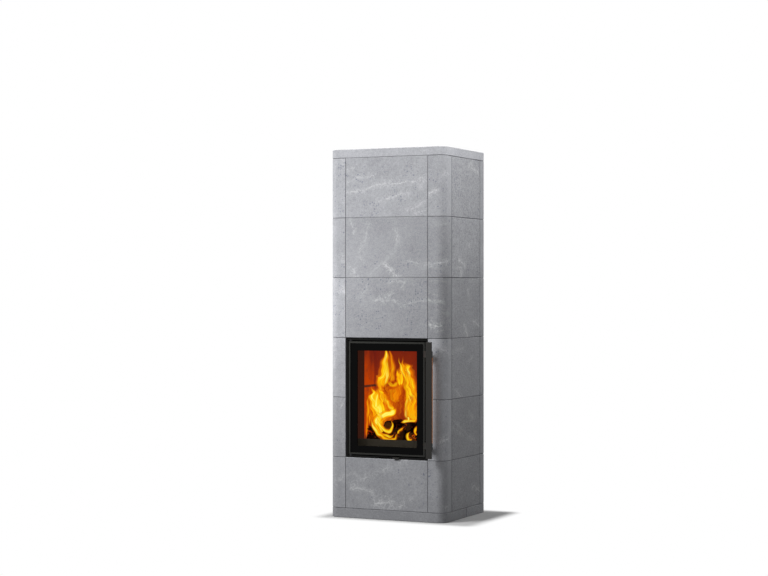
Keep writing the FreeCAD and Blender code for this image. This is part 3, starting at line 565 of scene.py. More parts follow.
@dataclass(frozen=True)
class KnownVeins:
    """Veins that a stone is known to have: a broken thread, feathers beside it and a faint haze."""

    bends: tuple[tuple[Noise, float], ...] = (
        (Noise(16.0, roughness=0.6), 0.030),
        (Noise(60.0, roughness=0.6), 0.013),
        (Noise(150.0, roughness=0.6), 0.003),
    )
    on_face: Point = (1.0, 0.0, 1.0)
    swell: Noise = Noise(90.0, roughness=0.6)
    swell_gain: float = 2.4
    swell_start: float = -0.2
    breaks: Noise = Noise(75.0, 4.0, 0.7)
    break_span: Span = (0.40, 0.58)
    strands: Noise = Noise(34.0, 5.0, 0.6, 0.6)
    strand_span: Span = (0.045, 0.0)
    thread: float = 1.4
    feather_reach: float = 6.0
    haze_reach: float = 3.5
    haze: float = 0.14

    def share(self, n: Nodes, here: Socket, stone: Socket, face: Face, veins: Sequence[Vein]) -> Socket:
        """Works out where they lie.

        Args:
            n: The material's nodes.
            here: Coordinates on the body.
            stone: Coordinates shifted for this stone.
            face: The face that the veins follow.
            veins: The stone's veins.

        Returns:
            The share of vein colour.
        """
        x, y, z = n.axes(here)
        along_x, along_y, start = face.value
        across = n.math("ADD", n.math("MULTIPLY", x, along_x), n.math("MULTIPLY", y, along_y))
        place = n.add("CombineXYZ", {0: n.math("ADD", across, start), 2: z}).outputs[0]
        for layer, reach in self.bends:
            place = n.stirred(place, stone, layer, reach)
        place = n.vector("MULTIPLY", place, self.on_face)
        swell = n.scaled(n.cloud(stone, self.swell), self.swell_gain, self.swell_start)
        broken = n.ease(n.cloud(stone, self.breaks), self.break_span)
        strands = n.ease(n.apart(n.cloud(stone, self.strands), NOISE_MIDDLE), self.strand_span)
        share = 0.0
        for vein in veins:
            away = vein.distance(n, place)
            width = MILLIMETRE * vein.width
            near = n.ease(n.math("DIVIDE", away, swell), (width, 0.0))
            thread = n.product(near, broken, self.thread * vein.strength)
            feather = n.product(n.ease(away, (self.feather_reach * width, 0.0)), strands, vein.strength)
            haze = n.product(n.ease(away, (self.haze_reach * width, 0.0)), self.haze * vein.strength)
            share = n.math("MAXIMUM", share, n.math("MAXIMUM", thread, n.math("MAXIMUM", feather, haze)))
        return share


@dataclass(frozen=True)
class DarkSpecks:
    """Dark mineral specks that lie in clusters."""

    bend: Noise = Noise(120.0, roughness=0.6)
    bend_reach: float = 0.008
    cells: float = 95.0
    least_dot: float = 0.15
    dot_span: Span = (0.46, 0.18)
    chosen_span: Span = (0.40, 0.75)
    clusters: Noise = Noise(11.0)
    cluster_span: Span = (0.62, 0.80)
    spread: float = 0.26
    strength: float = 0.60

    def share(self, n: Nodes, stone: Socket, amount: float) -> Socket:
        """Works out where they lie.

        Args:
            n: The material's nodes.
            stone: Coordinates shifted for this stone.
            amount: How many specks the stone has.

        Returns:
            The share of speck colour.
        """
        cell = n.cells(n.stirred(stone, stone, self.bend, self.bend_reach), self.cells)
        chosen = n.axes(cell.outputs["Color"])[0]
        size = n.math("ADD", chosen, self.least_dot)
        dots = n.ease(n.math("DIVIDE", cell.outputs["Distance"], size), self.dot_span)
        start, full = (level - self.spread * amount for level in self.cluster_span)
        clusters = n.ease(n.cloud(stone, self.clusters), (start, full))
        return n.product(dots, n.ease(chosen, self.chosen_span), clusters, self.strength)


@dataclass(frozen=True)
class JointGrimeAndShade:
    """Grime and painted shade along the joints, darkening each stone near them, with its reach across each
    axis.
    """

    reach: Point = (0.0014, 0.0030, 0.0014)
    core: float = 0.4
    strength: float = 0.7

    def share(self, n: Nodes, here: Socket, joints: Sequence[tuple[int, float]]) -> Socket:
        """Works out where the grime and painted shade lie.

        Args:
            n: The material's nodes.
            here: Coordinates on the body.
            joints: The axis and place of each joint.

        Returns:
            The share of grime and painted shade.
        """
        parts = n.axes(here)
        share = 0.0
        for axis, place in joints:
            reach = self.reach[axis]
            near = n.ease(n.apart(parts[axis], place), (reach, self.core * reach))
            share = n.math("MAXIMUM", share, near)
        return n.math("MULTIPLY", share, self.strength)


@dataclass(frozen=True)
class Soapstone(Finish):
    """Honed grey soapstone with pale veins, dark specks and fine grain, sawn lengthwise on the sides."""

    seed: int
    face: Face
    look: StoneLook
    joints: tuple[tuple[int, float], ...]
    dark: Colour = srgb(126, 127, 132)
    light: Colour = srgb(190, 191, 195)
    vein: Colour = srgb(218, 219, 220)
    speck: Colour = srgb(88, 94, 116)
    grime_and_shade: Colour = srgb(64, 64, 68)
    quarry: float = 9.0
    side_stretch: Point = (1.0, 0.6, 0.65)
    clouds: Noise = Noise(7.0, 5.0, 0.6, 0.4)
    cloud_share: float = 0.5
    mottle: Noise = Noise(70.0, 4.0, 0.65, 0.3)
    mottle_share: float = 0.5
    grain: Noise = Noise(240.0, 3.0, 0.7)
    grain_share: float = 1.2
    side_grain_share: float = 2.2
    roughness: float = 0.48
    unevenness: float = 0.2
    chance_veins: ChanceVeins = ChanceVeins()
    known_veins: KnownVeins = KnownVeins()
    specks: DarkSpecks = DarkSpecks()
    joint_grime_and_shade: JointGrimeAndShade = JointGrimeAndShade()

    def wire(self, n: Nodes) -> Inputs:
        """Wires the stone, with its pattern shifted by the seed.

        Args:
            n: The material's nodes.

        Returns:
            The shader's inputs.
        """
        draw = random.Random(self.seed)
        look = self.look
        here = n.here()
        shift = tuple(draw.uniform(-self.quarry, self.quarry) for _ in range(3))
        stone = n.placed(here, location=shift)
        on_side = self.face is Face.SIDE
        sawn = n.placed(stone, scale=self.side_stretch if on_side else (1, 1, 1))
        clouds = n.cloud(stone, self.clouds)
        mottle = n.cloud(sawn, self.mottle)
        grain = n.cloud(sawn, self.grain)
        grain_share = self.side_grain_share if on_side else self.grain_share
        level = n.math("ADD", n.math("MULTIPLY", clouds, self.cloud_share),
                       n.math("MULTIPLY", mottle, self.mottle_share))
        level = n.math("ADD", level, n.math("MULTIPLY", grain, grain_share))
        level = n.math("SUBTRACT", level, grain_share * NOISE_MIDDLE, clamp=True)
        # look.tone scales every colour, painting light and shade on the stone as well as giving its own grey
        vein = shade(self.vein, look.tone)
        tone = n.mix(level, shade(self.dark, look.tone), shade(self.light, look.tone))
        tone = n.mix(self.chance_veins.share(n, stone, draw, look), tone, vein)
        if look.veins:
            tone = n.mix(self.known_veins.share(n, here, stone, self.face, look.veins), tone, vein)
        tone = n.mix(self.specks.share(n, stone, look.specks), tone, shade(self.speck, look.tone))
        # grime and painted shade darken the stone along its joints
        if self.joints:
            tone = n.mix(self.joint_grime_and_shade.share(n, here, self.joints), tone, self.grime_and_shade)
        return {"Base Color": tone, "Roughness": n.scaled(mottle, self.unevenness, self.roughness),
                "Specular IOR Level": 0.20, "Normal": n.relief(grain, depth=0.0006, strength=0.5)}


@dataclass(frozen=True)
class Firebrick(Finish):
    """Refractory brick, sooty, and where it faces the fire a painted glow that stands in for the fire's light
    on it; spans of heights and depths in metres.
    """

    # glow: strength of the painted glow, an emission that stands in for the fire's light; the brick is no
    # lamp
    glow: float = 0.0
    clean: Colour = srgb(176, 150, 122)
    soot: Colour = srgb(58, 36, 28)
    painted_glow_bright: Colour = srgb(196, 66, 3)
    dim: Colour = srgb(112, 30, 20)
    back_wall: Colour = srgb(120, 34, 14)
    front_edge: Colour = srgb(55, 26, 18)
    mottle: Noise = Noise(30.0, 5.0, 0.6)
    mottle_shades: Span = (0.7, 1.25)
    pits: Noise = Noise(400.0)
    drift: Noise = Noise(1.0, 4.0, 0.6)
    drift_stretch: Point = (14.0, 14.0, 3.5)
    drift_rise: float = 0.35
    painted_glow_fade_heights: Span = (0.58, 0.84)
    painted_glow_low_fade_heights: Span = (0.46, 0.39)
    stain_span: Span = (0.42, 0.72)
    stain_share: float = 0.35
    deep_depths: Span = (-0.055, -0.045)
    deep_share: float = 0.62
    back_depths: Span = (0.015, 0.024)
    back_share: float = 0.35
    joint_height: float = 0.612
    joint_span: Span = (0.008, 0.003)
    joint_share: float = 0.9
    edge_depths: Span = (-0.1550, -0.1585)

    def wire(self, n: Nodes) -> Inputs:
        """Wires the brick, with its painted glow where it has one.

        Args:
            n: The material's nodes.

        Returns:
            The shader's inputs.
        """
        here = n.here()
        mottle = n.cloud(here, self.mottle)
        pits = n.cloud(here, self.pits)
        tone = n.shades(mottle, self.soot if self.glow else self.clean, self.mottle_shades)
        inputs = {"Base Color": tone, "Roughness": 0.92, "Specular IOR Level": 0.0,
                  "Normal": n.relief(pits, depth=0.0008, strength=0.6)}
        if self.glow:
            inputs["Emission Color"] = self.heat(n, here, mottle)
            inputs["Emission Strength"] = self.glow
        return inputs

    def heat(self, n: Nodes, here: Socket, mottle: Socket) -> Socket:
        """Colours the painted glow, the fire's light painted on the lining: bright low at the front, dim
        above, deeper in and on the edges at the door, and dark again low down.

        Args:
            n: The material's nodes.
            here: Coordinates on the body.
            mottle: Soft noise over the brick.

        Returns:
            The glow's colour.
        """
        _, y, z = n.axes(here)
        drift = n.cloud(n.placed(here, scale=self.drift_stretch), self.drift)
        rise = n.math("MULTIPLY", n.math("SUBTRACT", drift, NOISE_MIDDLE), self.drift_rise)
        lift = n.math("ADD", z, rise)
        tone = n.mix(n.ease(lift, self.painted_glow_fade_heights), self.painted_glow_bright, self.dim)
        tone = n.mix(n.product(n.ease(mottle, self.stain_span), self.stain_share), tone, self.soot)
        # the painted glow fades to dark towards the bottom of the lining
        tone = n.mix(n.ease(lift, self.painted_glow_low_fade_heights), tone, self.soot)
        tone = n.mix(n.product(n.ease(y, self.deep_depths), self.deep_share), tone, self.dim)
        tone = n.mix(n.product(n.ease(y, self.back_depths), self.back_share), tone, self.back_wall)
        joint = n.ease(n.apart(z, self.joint_height), self.joint_span)
        tone = n.mix(n.product(joint, self.joint_share), tone, self.soot)
        return n.mix(n.ease(y, self.edge_depths), tone, self.front_edge)


@dataclass(frozen=True)
class PaintedSteel(Finish):
    """Stove paint: fine matt grain over sheet steel, and where it stands in the fire a painted glow of its
    own colour that stands in for the fire's light.
    """

    colour: Colour
    roughness: float
    shine: float
    painted_fire_glow: float = 0.0
    grain: Noise = Noise(900.0, 2.0)
    unevenness: float = 0.14
    drift: Noise = Noise(12.0)
    drift_shades: Span = (0.85, 1.15)

    def wire(self, n: Nodes) -> Inputs:
        """Wires the paint.

        Args:
            n: The material's nodes.

        Returns:
            The shader's inputs.
        """
        here = n.here()
        grain = n.cloud(here, self.grain)
        tone = n.shades(n.cloud(here, self.drift), self.colour, self.drift_shades)
        rough = n.scaled(grain, self.unevenness, self.roughness - self.unevenness * NOISE_MIDDLE)
        # An emission in the paint's own colour is painted light; it fills shade that the paint would
        # otherwise show
        return {"Base Color": tone, "Roughness": rough, "Specular IOR Level": self.shine,
                "Emission Color": tone, "Emission Strength": self.painted_fire_glow,
                "Normal": n.relief(grain, depth=0.00015, strength=0.5)}


@dataclass(frozen=True)
class RawSteel(Finish):
    """Bare rolled steel with a drawn grain."""

    colour: Colour
    roughness: float = 0.35
    drawn: Noise = Noise(1.0)
    drawn_stretch: Point = (12.0, 400.0, 400.0)
    unevenness: float = 0.2
    stain: Noise = Noise(18.0, 4.0)
    stain_shades: Span = (0.8, 1.0)

    def wire(self, n: Nodes) -> Inputs:
        """Wires the steel.

        Args:
            n: The material's nodes.

        Returns:
            The shader's inputs.
        """
        here = n.here()
        drawn = n.cloud(n.placed(here, scale=self.drawn_stretch), self.drawn)
        tone = n.shades(n.cloud(here, self.stain), self.colour, self.stain_shades)
        rough = n.scaled(drawn, self.unevenness, self.roughness - self.unevenness * NOISE_MIDDLE)
        return {"Base Color": tone, "Metallic": 1.0, "Roughness": rough,
                "Normal": n.relief(drawn, depth=0.0001, strength=0.4)}


@dataclass(frozen=True)
class CastIron(Finish):
    """Rough cast iron, dusted with ash."""

    iron: Colour = srgb(44, 42, 41)
    ash: Colour = srgb(120, 114, 106)
    dust: Noise = Noise(25.0, 4.0)
    dust_span: Span = (0.5, 0.75)
    dust_share: float = 0.5
    skin: Noise = Noise(500.0)

    def wire(self, n: Nodes) -> Inputs:
        """Wires the casting.

        Args:
            n: The material's nodes.

        Returns:
            The shader's inputs.
        """
        here = n.here()
        dust = n.ease(n.cloud(here, self.dust), self.dust_span)
        skin = n.cloud(here, self.skin)
        tone = n.mix(n.product(dust, self.dust_share), self.iron, self.ash)
        return {"Base Color": tone, "Metallic": 0.3, "Roughness": 0.8,
                "Normal": n.relief(skin, depth=0.0006, strength=0.8)}


@dataclass(frozen=True)
class PrintedGlass(Finish):
    """Ceramic glass with a black printed border round its clear window."""

    half_width: float
    floor: float
    top: float
    print_colour: Colour = srgb(3, 3, 3)
    print_edge: Span = (-0.0004, 0.0004)
    print_gloss: float = 0.1
    clear_share: float = 0.05

    def wire(self, n: Nodes) -> Inputs:
        """Wires the pane.

        Args:
            n: The material's nodes.

        Returns:
            The shader's inputs.
        """
        x, _, z = n.axes(n.here())
        middle = (self.floor + self.top) / 2
        reach_x = n.math("SUBTRACT", n.math("ABSOLUTE", x), self.half_width)
        reach_z = n.math("SUBTRACT", n.apart(z, middle), (self.top - self.floor) / 2)
        printed = n.ease(n.math("MAXIMUM", reach_x, reach_z), self.print_edge)
        opaque = n.scaled(printed, 1.0 - self.clear_share, self.clear_share)
        return {"Base Color": self.print_colour, "Roughness": 0.3, "Specular IOR Level": 0.0,
                "Coat Weight": n.product(printed, self.print_gloss), "Coat Roughness": 0.04, "Alpha": opaque}


@dataclass(frozen=True)
class OiledWood(Finish):
    """Warm hardwood with its grain along the grip."""

    pale: Colour = srgb(201, 128, 60)
    dark: Colour = srgb(142, 78, 30)
    fibres: Noise = Noise(1.0, 4.0, 0.6)
    fibre_stretch: Point = (260.0, 260.0, 9.0)
    fibre_span: Span = (0.5, 0.7)
    fibre_share: float = 0.4
    rings: Noise = Noise(1.0, 2.0, 0.5, 0.4)
    ring_stretch: Point = (60.0, 60.0, 3.0)
    ring_span: Span = (0.35, 0.65)

    def wire(self, n: Nodes) -> Inputs:
        """Wires the wood.

        Args:
            n: The material's nodes.

        Returns:
            The shader's inputs.
        """
        here = n.here()
        fibres = n.cloud(n.placed(here, scale=self.fibre_stretch), self.fibres)
        rings = n.cloud(n.placed(here, scale=self.ring_stretch), self.rings)
        tone = n.mix(n.ease(rings, self.ring_span), self.dark, self.pale)
        tone = n.mix(n.product(n.ease(fibres, self.fibre_span), self.fibre_share), tone, self.dark)
        return {"Base Color": tone, "Roughness": 0.45, "Normal": n.relief(fibres, depth=0.0002, strength=0.6)}


@dataclass(frozen=True)
class FibreRope(Finish):
    """Knitted glass-fibre yarn."""

    colour: Colour = srgb(74, 72, 69)
    yarn: Noise = Noise(700.0)
    yarn_shades: Span = (0.5, 1.4)

    def wire(self, n: Nodes) -> Inputs:
        """Wires the yarn.

        Args:
            n: The material's nodes.

        Returns:
            The shader's inputs.
        """
        yarn = n.cloud(n.here(), self.yarn)
        return {"Base Color": n.shades(yarn, self.colour, self.yarn_shades), "Roughness": 0.95,
                "Specular IOR Level": 0.1, "Normal": n.relief(yarn, depth=0.0006, strength=0.8)}


@dataclass(frozen=True)
class CharredLog(Finish):
    """Split firewood, brown at its ends, black and cracked outside, with embers in the cracks.

    The radial attribute runs from the heart to the bark, and fresh says how bare an end is.
    """

    char: Colour = srgb(36, 20, 14)
    brown: Colour = srgb(104, 58, 20)
    ember: Colour = srgb(255, 96, 8)
    ring_stir: Noise = Noise(40.0)
    ring_stir_share: float = 0.35
    ring_count: float = 46.0
    ring_span: Span = (-0.6, 0.8)
    ring_shades: Span = (0.55, 1.0)
    burn_stir: Noise = Noise(22.0, 4.0)
    burn_stir_share: float = 0.5
    burn_span: Span = (0.85, 1.15)
    crack_stretch: Point = (1.0, 0.45, 1.0)
    cracks: float = 75.0
    crack_span: Span = (0.0, 0.25)
    glow_span: Span = (0.08, 0.0)
    hot_spots: Noise = Noise(26.0)
    hot_span: Span = (0.54, 0.70)

    def wire(self, n: Nodes) -> Inputs:
        """Wires the wood.

        Args:
            n: The material's nodes.

        Returns:
            The shader's inputs.
        """
        here = n.here()
        radial = n.attribute("radial")
        fresh = n.attribute("fresh")
        stirred = n.math("ADD", radial, n.product(n.cloud(here, self.ring_stir), self.ring_stir_share))
        rings = n.math("SINE", n.math("MULTIPLY", stirred, self.ring_count))
        wood = n.shades(n.ease(rings, self.ring_span), self.brown, self.ring_shades)
        reach = n.math("ADD", radial, n.product(n.cloud(here, self.burn_stir), self.burn_stir_share))
        tone = n.mix(n.ease(reach, self.burn_span), wood, self.char)
        tone = n.mix(fresh, self.char, tone)
        cracks = n.cracks(n.placed(here, scale=self.crack_stretch), self.cracks)
        hot_spots = n.ease(n.cloud(here, self.hot_spots), self.hot_span)
        glow = n.product(n.ease(cracks, self.glow_span), hot_spots)
        crackle = n.ease(cracks, self.crack_span)
        return {"Base Color": tone, "Roughness": 0.9, "Specular IOR Level": 0.0,
                "Emission Color": n.mix(glow, BLACK, self.ember), "Emission Strength": 0.9,
                "Normal": n.relief(crackle, depth=0.002, strength=0.7)}


@dataclass(frozen=True)
class Charcoal(Finish):
    """Broken charcoal and embers under a skin of ash."""

    coal: Colour = srgb(36, 20, 16)
    ash: Colour = srgb(86, 74, 66)
    ember: Colour = srgb(236, 62, 8)
    dying: Colour = (0.004, 0.0008, 0.0)
    dust: Noise = Noise(60.0, 4.0)
    dust_span: Span = (0.58, 0.8)
    dust_share: float = 0.45
    cracks: float = 70.0
    glow_span: Span = (0.12, 0.0)
    patches: Noise = Noise(30.0)
    patch_span: Span = (0.54, 0.68)
    skin: Noise = Noise(260.0, 4.0)

    def wire(self, n: Nodes) -> Inputs:
        """Wires the charcoal.

        Args:
            n: The material's nodes.

        Returns:
            The shader's inputs.
        """
        here = n.here()
        dust = n.ease(n.cloud(here, self.dust), self.dust_span)
        tone = n.mix(n.product(dust, self.dust_share), self.coal, self.ash)
        cracks = n.cracks(here, self.cracks)
        patches = n.ease(n.cloud(here, self.patches), self.patch_span)
        glow = n.product(n.ease(cracks, self.glow_span), patches)
        return {"Base Color": tone, "Roughness": 0.95, "Specular IOR Level": 0.0,
                "Emission Color": n.mix(glow, self.dying, self.ember), "Emission Strength": 0.85,
                "Normal": n.relief(n.cloud(here, self.skin), depth=0.0015, strength=0.8)}


@dataclass(frozen=True)
class Flame(Finish):
    """Burning gas: streaky light that is yellow inside and orange and see-through at its edges.

    Each tongue brings its own heat, body, seed, half width and run as attributes.
    """

    streaks: float = 62.0
    stretch: float = 7.5
    swirl: Noise = Noise(1.0, 2.2, 0.5, 0.4)
    swirl_reach: float = 0.9
    fine: Noise = Noise(1.0, 1.5, 0.5, 0.2)
    fine_stretch: Point = (1.7, 1.1, 1.0)
    fine_middle: float = 0.53
    foot_span: Span = (0.0, 0.22)
    tip_span: Span = (1.0, 0.66)
    thinnest: float = 1.32
    thickening: float = 0.75
    core_span: Span = (0.0, 0.95)
    core_warmth: float = 0.42
    streak_warmth: float = 1.0
    base_warmth: float = 0.45
    colours: tuple[tuple[float, Colour], ...] = (
        (0.10, srgb(70, 14, 2)), (0.35, srgb(186, 66, 4)), (0.52, srgb(238, 124, 6)),
        (0.68, srgb(255, 180, 8)), (0.84, srgb(255, 218, 26)), (0.98, srgb(255, 246, 110)))

    def wire(self, n: Nodes) -> Inputs:
        """Wires the flame.

        Args:
            n: The material's nodes.

        Returns:
            The shader's inputs.
        """
        across, along, _ = n.axes(n.add("UVMap").outputs[0])
        heat, body, seed, half, run = (n.attribute(name) for name in FLAME_LAYERS)
        side = n.math("SUBTRACT", n.math("MULTIPLY", across, 2.0), 1.0)
        sheet = n.add("CombineXYZ", {0: n.product(side, half, self.streaks),
                                     1: n.product(run, self.stretch), 2: seed}).outputs[0]
        swirl = n.cloud(sheet, self.swirl)
        fine = n.cloud(n.placed(sheet, scale=self.fine_stretch), self.fine)
        core = n.math("SUBTRACT", 1.0, n.math("ABSOLUTE", side))
        fray = n.product(n.math("SUBTRACT", swirl, NOISE_MIDDLE), self.swirl_reach)
        ragged = n.math("ADD", core, fray)
        taper = n.product(n.ease(along, self.foot_span), n.ease(along, self.tip_span))
        inside = n.math("SUBTRACT", n.math("ADD", ragged, taper), 1.0)
        full = n.math("SUBTRACT", self.thinnest, n.product(body, self.thickening))
        solid = n.product(n.math("DIVIDE", inside, full, clamp=True), body)
        warmth = n.math("ADD", n.product(n.ease(inside, self.core_span), self.core_warmth),
                        n.product(n.math("SUBTRACT", fine, self.fine_middle), self.streak_warmth))
        value = n.math("MULTIPLY", heat, n.math("ADD", warmth, self.base_warmth), clamp=True)
        return {"Base Color": BLACK, "Roughness": 1.0, "Specular IOR Level": 0.0,
                "Emission Color": n.ramp(value, self.colours), "Emission Strength": 1.12, "Alpha": solid}


@dataclass
class StoneShell:
    """The soapstone body: plinth, six courses and the top slab, with the veins that its faces show."""

    courses: int = 6
    front_panels: tuple[int, ...] = (1, 4, 5, 6)
    first_seed: int = 11
    seed_step: int = 7
    joint_reach: float = 0.002
    # Tones hold painted light and shade as well as each stone's own grey: left corner stones and the top slab
    # lighter, side panels darker.
    looks: dict[str, StoneLook] = field(default_factory=lambda: {
        "top_slab": StoneLook(1.20, 0.20),
        "plinth_front_slab": StoneLook(0.88),
        "front_panel_course_6": StoneLook(1.05, 0.65, (
            Vein(((-210, 1515), (-55, 1550), (180, 1570)), 6, 0.42),
            Vein(((-200, 1565), (-140, 1595), (-60, 1600)), 4, 0.28),
            Vein(((-45, 1480), (110, 1510)), 5, 0.36),
            Vein(((110, 1435), (205, 1475)), 5, 0.33),
            Vein(((135, 1415), (205, 1435)), 6, 0.36),
            Vein(((170, 1580), (195, 1580), (180, 1540)), 5, 0.35),
            Vein(((-205, 1630), (-160, 1640)), 4, 0.3))),
        "front_panel_course_5": StoneLook(0.94, 0.30, (
            Vein(((40, 1350), (55, 1325), (55, 1280)), 6, 0.4),
            Vein(((-90, 1370), (-100, 1330), (-140, 1235), (-125, 1205)), 6, 0.3),
            Vein(((-180, 1390), (-165, 1330)), 5, 0.3),
            Vein(((-5, 1185), (60, 1125)), 6, 0.65),
            Vein(((-175, 1160), (-155, 1135)), 7, 0.5),
            Vein(((110, 1200), (210, 1180)), 5, 0.35),
            Vein(((-80, 1140), (50, 1245)), 8, 0.2))),
        "front_panel_course_4": StoneLook(0.91, 0.75, (
            Vein(((20, 1100), (70, 1110), (95, 1100), (80, 1080)), 5, 0.4),
            Vein(((-60, 1020), (5, 1035), (25, 1050)), 5, 0.5),
            Vein(((-60, 1020), (0, 1015), (40, 1020), (60, 1000)), 5, 0.4),
            Vein(((75, 985), (130, 1010), (210, 1020)), 5, 0.35),
            Vein(((-120, 1050), (-100, 1070), (-105, 1085)), 5, 0.25))),
        "front_panel_course_1": StoneLook(veins=(
            Vein(((-205, 195), (-175, 205), (-155, 195)), 5, 0.3),
            Vein(((-130, 180), (-60, 205), (15, 245)), 5, 0.4),
            Vein(((-180, 150), (-165, 160), (-160, 150)), 6, 0.5),
            Vein(((-180, 135), (-135, 140), (-75, 130), (-75, 120)), 5, 0.5),
            Vein(((-55, 75), (-5, 85), (25, 80)), 9, 0.7),
            Vein(((-20, 95), (0, 110)), 4, 0.35),
            Vein(((-20, 50), (60, 60), (90, 75), (85, 90)), 5, 0.45),
            Vein(((115, 95), (135, 110)), 5, 0.25),
            Vein(((65, 265), (95, 275)), 5, 0.3))),
        "corner_stone_right_course_6": StoneLook(1.04, veins=(
            Vein(((220, 1505), (255, 1520)), 5, 0.45),
            Vein(((290, 1595), (325, 1605)), 5, 0.3))),
        "corner_stone_right_course_5": StoneLook(0.90, veins=(
            Vein(((235, 1365), (270, 1360), (325, 1365)), 5, 0.2),
            Vein(((210, 1180), (335, 1195)), 5, 0.6))),
        "corner_stone_right_course_4": StoneLook(0.80, veins=(
            Vein(((210, 1110), (355, 1105)), 3, 0.2),
            Vein(((215, 1055), (250, 1045)), 5, 0.25),
            Vein(((210, 1020), (255, 1010), (310, 1010)), 4, 0.6),
            Vein(((215, 910), (280, 900)), 7, 0.75),
            Vein(((305, 960), (330, 955)), 6, 0.35))),
        "corner_stone_right_course_3": StoneLook(1.10, veins=(
            Vein(((280, 790), (330, 785)), 6, 0.4),)),
        "corner_stone_right_course_2": StoneLook(1.15, veins=(
            Vein(((275, 375), (330, 385)), 6, 0.6),)),
        "corner_stone_right_course_1": StoneLook(0.97, veins=(
            Vein(((295, 65), (315, 65), (330, 75)), 5, 0.45),)),
        "corner_stone_left_course_6": StoneLook(1.13, 0.85),
        "corner_stone_left_course_4": StoneLook(1.13, 0.75, (
            Vein(((240, 1070), (215, 1055)), 6, 0.45),)),
        "corner_stone_left_course_3": StoneLook(1.08),
        "corner_stone_left_course_1": StoneLook(1.06, veins=(
            Vein(((235, 175), (215, 190)), 6, 0.35),
            Vein(((270, 165), (265, 150)), 6, 0.3))),
        "side_panels_course_6": StoneLook(0.89, veins=(
            Vein(((45, 1640), (65, 1660), (95, 1660), (75, 1640), (145, 1630), (160, 1615)), 4, 0.6),)),
        "side_panels_course_5": StoneLook(0.94, veins=(
            Vein(((-70, 1205), (0, 1180)), 5, 0.7),
            Vein(((-75, 1175), (-45, 1155), (-45, 1130)), 6, 0.65),
            Vein(((50, 1290), (60, 1270)), 5, 0.5))),
        "side_panels_course_4": StoneLook(0.91, veins=(
            Vein(((-5, 905), (30, 850)), 5, 0.7),
            Vein(((95, 920), (170, 900)), 5, 0.6),
            Vein(((35, 1060), (45, 1030)), 5, 0.5))),
        "side_panels_course_3": StoneLook(0.92, veins=(
            Vein(((-160, 775), (-25, 800)), 4, 0.45),
            Vein(((50, 735), (90, 745)), 5, 0.45),
            Vein(((-105, 600), (-45, 570)), 5, 0.6))),
        "side_panels_course_2": StoneLook(0.81, veins=(
            Vein(((-120, 455), (45, 380), (135, 350)), 4, 0.45),
            Vein(((-145, 435), (15, 370)), 4, 0.35),
            Vein(((50, 480), (100, 460)), 5, 0.45))),
        "side_panels_course_1": StoneLook(0.87, veins=(
            Vein(((85, 135), (120, 140), (170, 110)), 5, 0.7),)),
    })

    def stones(self) -> list[tuple[str, Face]]:
        """Lists every stone.

        Returns:
            Each stone's node, with the face that its veins follow.
        """
        rows = [("plinth_front_slab", Face.FRONT), ("plinth_rear_slab", Face.SIDE), ("top_slab", Face.FRONT),
                ("back_slab_course_1", Face.FRONT), ("back_slabs_upper", Face.FRONT)]
        for course in range(1, self.courses + 1):
            rows += [(f"corner_stone_left_course_{course}", Face.LEFT_CORNER),
                     (f"corner_stone_right_course_{course}", Face.RIGHT_CORNER),
                     (f"side_panels_course_{course}", Face.SIDE)]
        rows += [(f"front_panel_course_{course}", Face.FRONT) for course in self.front_panels]
        return rows

    def joints(self, name: str) -> tuple[tuple[int, float], ...]:
        """Finds where a stone meets its neighbours, for the grime and painted shade along them; the front
        panels get none.

        Args:
            name: The stone's node.

        Returns:
            The axis and place of each joint.
        """
        if name.startswith("front_panel"):
            return ()
        low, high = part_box(name)
        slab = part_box("top_slab")
        corners = [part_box(f"corner_stone_left_course_{course}") for course in range(1, self.courses + 1)]
        levels = {round(corner.z, 4) for box in corners for corner in box}
        found = [(2, level) for level in sorted(levels)
                 if low.z - self.joint_reach < level < high.z + self.joint_reach]
        for axis in (0, 1):
            for place in (low[axis], high[axis]):
                if min(abs(place - corner[axis]) for corner in slab) > self.joint_reach:
                    found.append((axis, place))
        return tuple(found)

    def build(self) -> None:
        """Gives each stone its own piece of the quarry."""
        for number, (name, face) in enumerate(self.stones()):
            seed = self.first_seed + self.seed_step * number
            look = self.looks.get(name, StoneLook())
            dress(Soapstone(f"soapstone_{name}", seed, face, look, self.joints(name)).build(), name)


@dataclass
class Core:
    """Refractory core, its boards and the pipe sleeves."""

    sooty: Colour = srgb(60, 50, 44)
    board: Colour = srgb(205, 198, 182)
    sleeve: Colour = srgb(150, 152, 154)

    def build(self) -> None:
        """Dresses the pieces behind the stone."""
        dress(Firebrick("firebrick").build(), "throat_slab", "riser_blocks", "core_cap", "rear_mass_blocks")
        # The lining's glow is painted light: an emission standing in for the fire's light on the walls.
        lining = Firebrick("firebrick_painted_glow", glow=1.0).build()
        dress(lining, "firebox_side_bricks", "firebox_back_bricks", "firebox_lintel")
        sooty = Firebrick("sooty_brick", clean=self.sooty).build()
        dress(sooty, "hearth_slab", "base_blocks", "collector_cover")
        dress(FibreRope("fibre_board", self.board).build(), "insulation_boards")
        dress(RawSteel("sleeve_steel", self.sleeve).build(), "flue_collar", "air_inlet_sleeve", "ash_pan")
        dress(CastIron("grate_iron").build(), "grate")


@dataclass(frozen=True)
class LogPlace:
    """One log: centre in X and Z, radius, and the direction of its split face above +X in degrees."""

    x: float
    z: float
    radius: float
    flat_angle: float


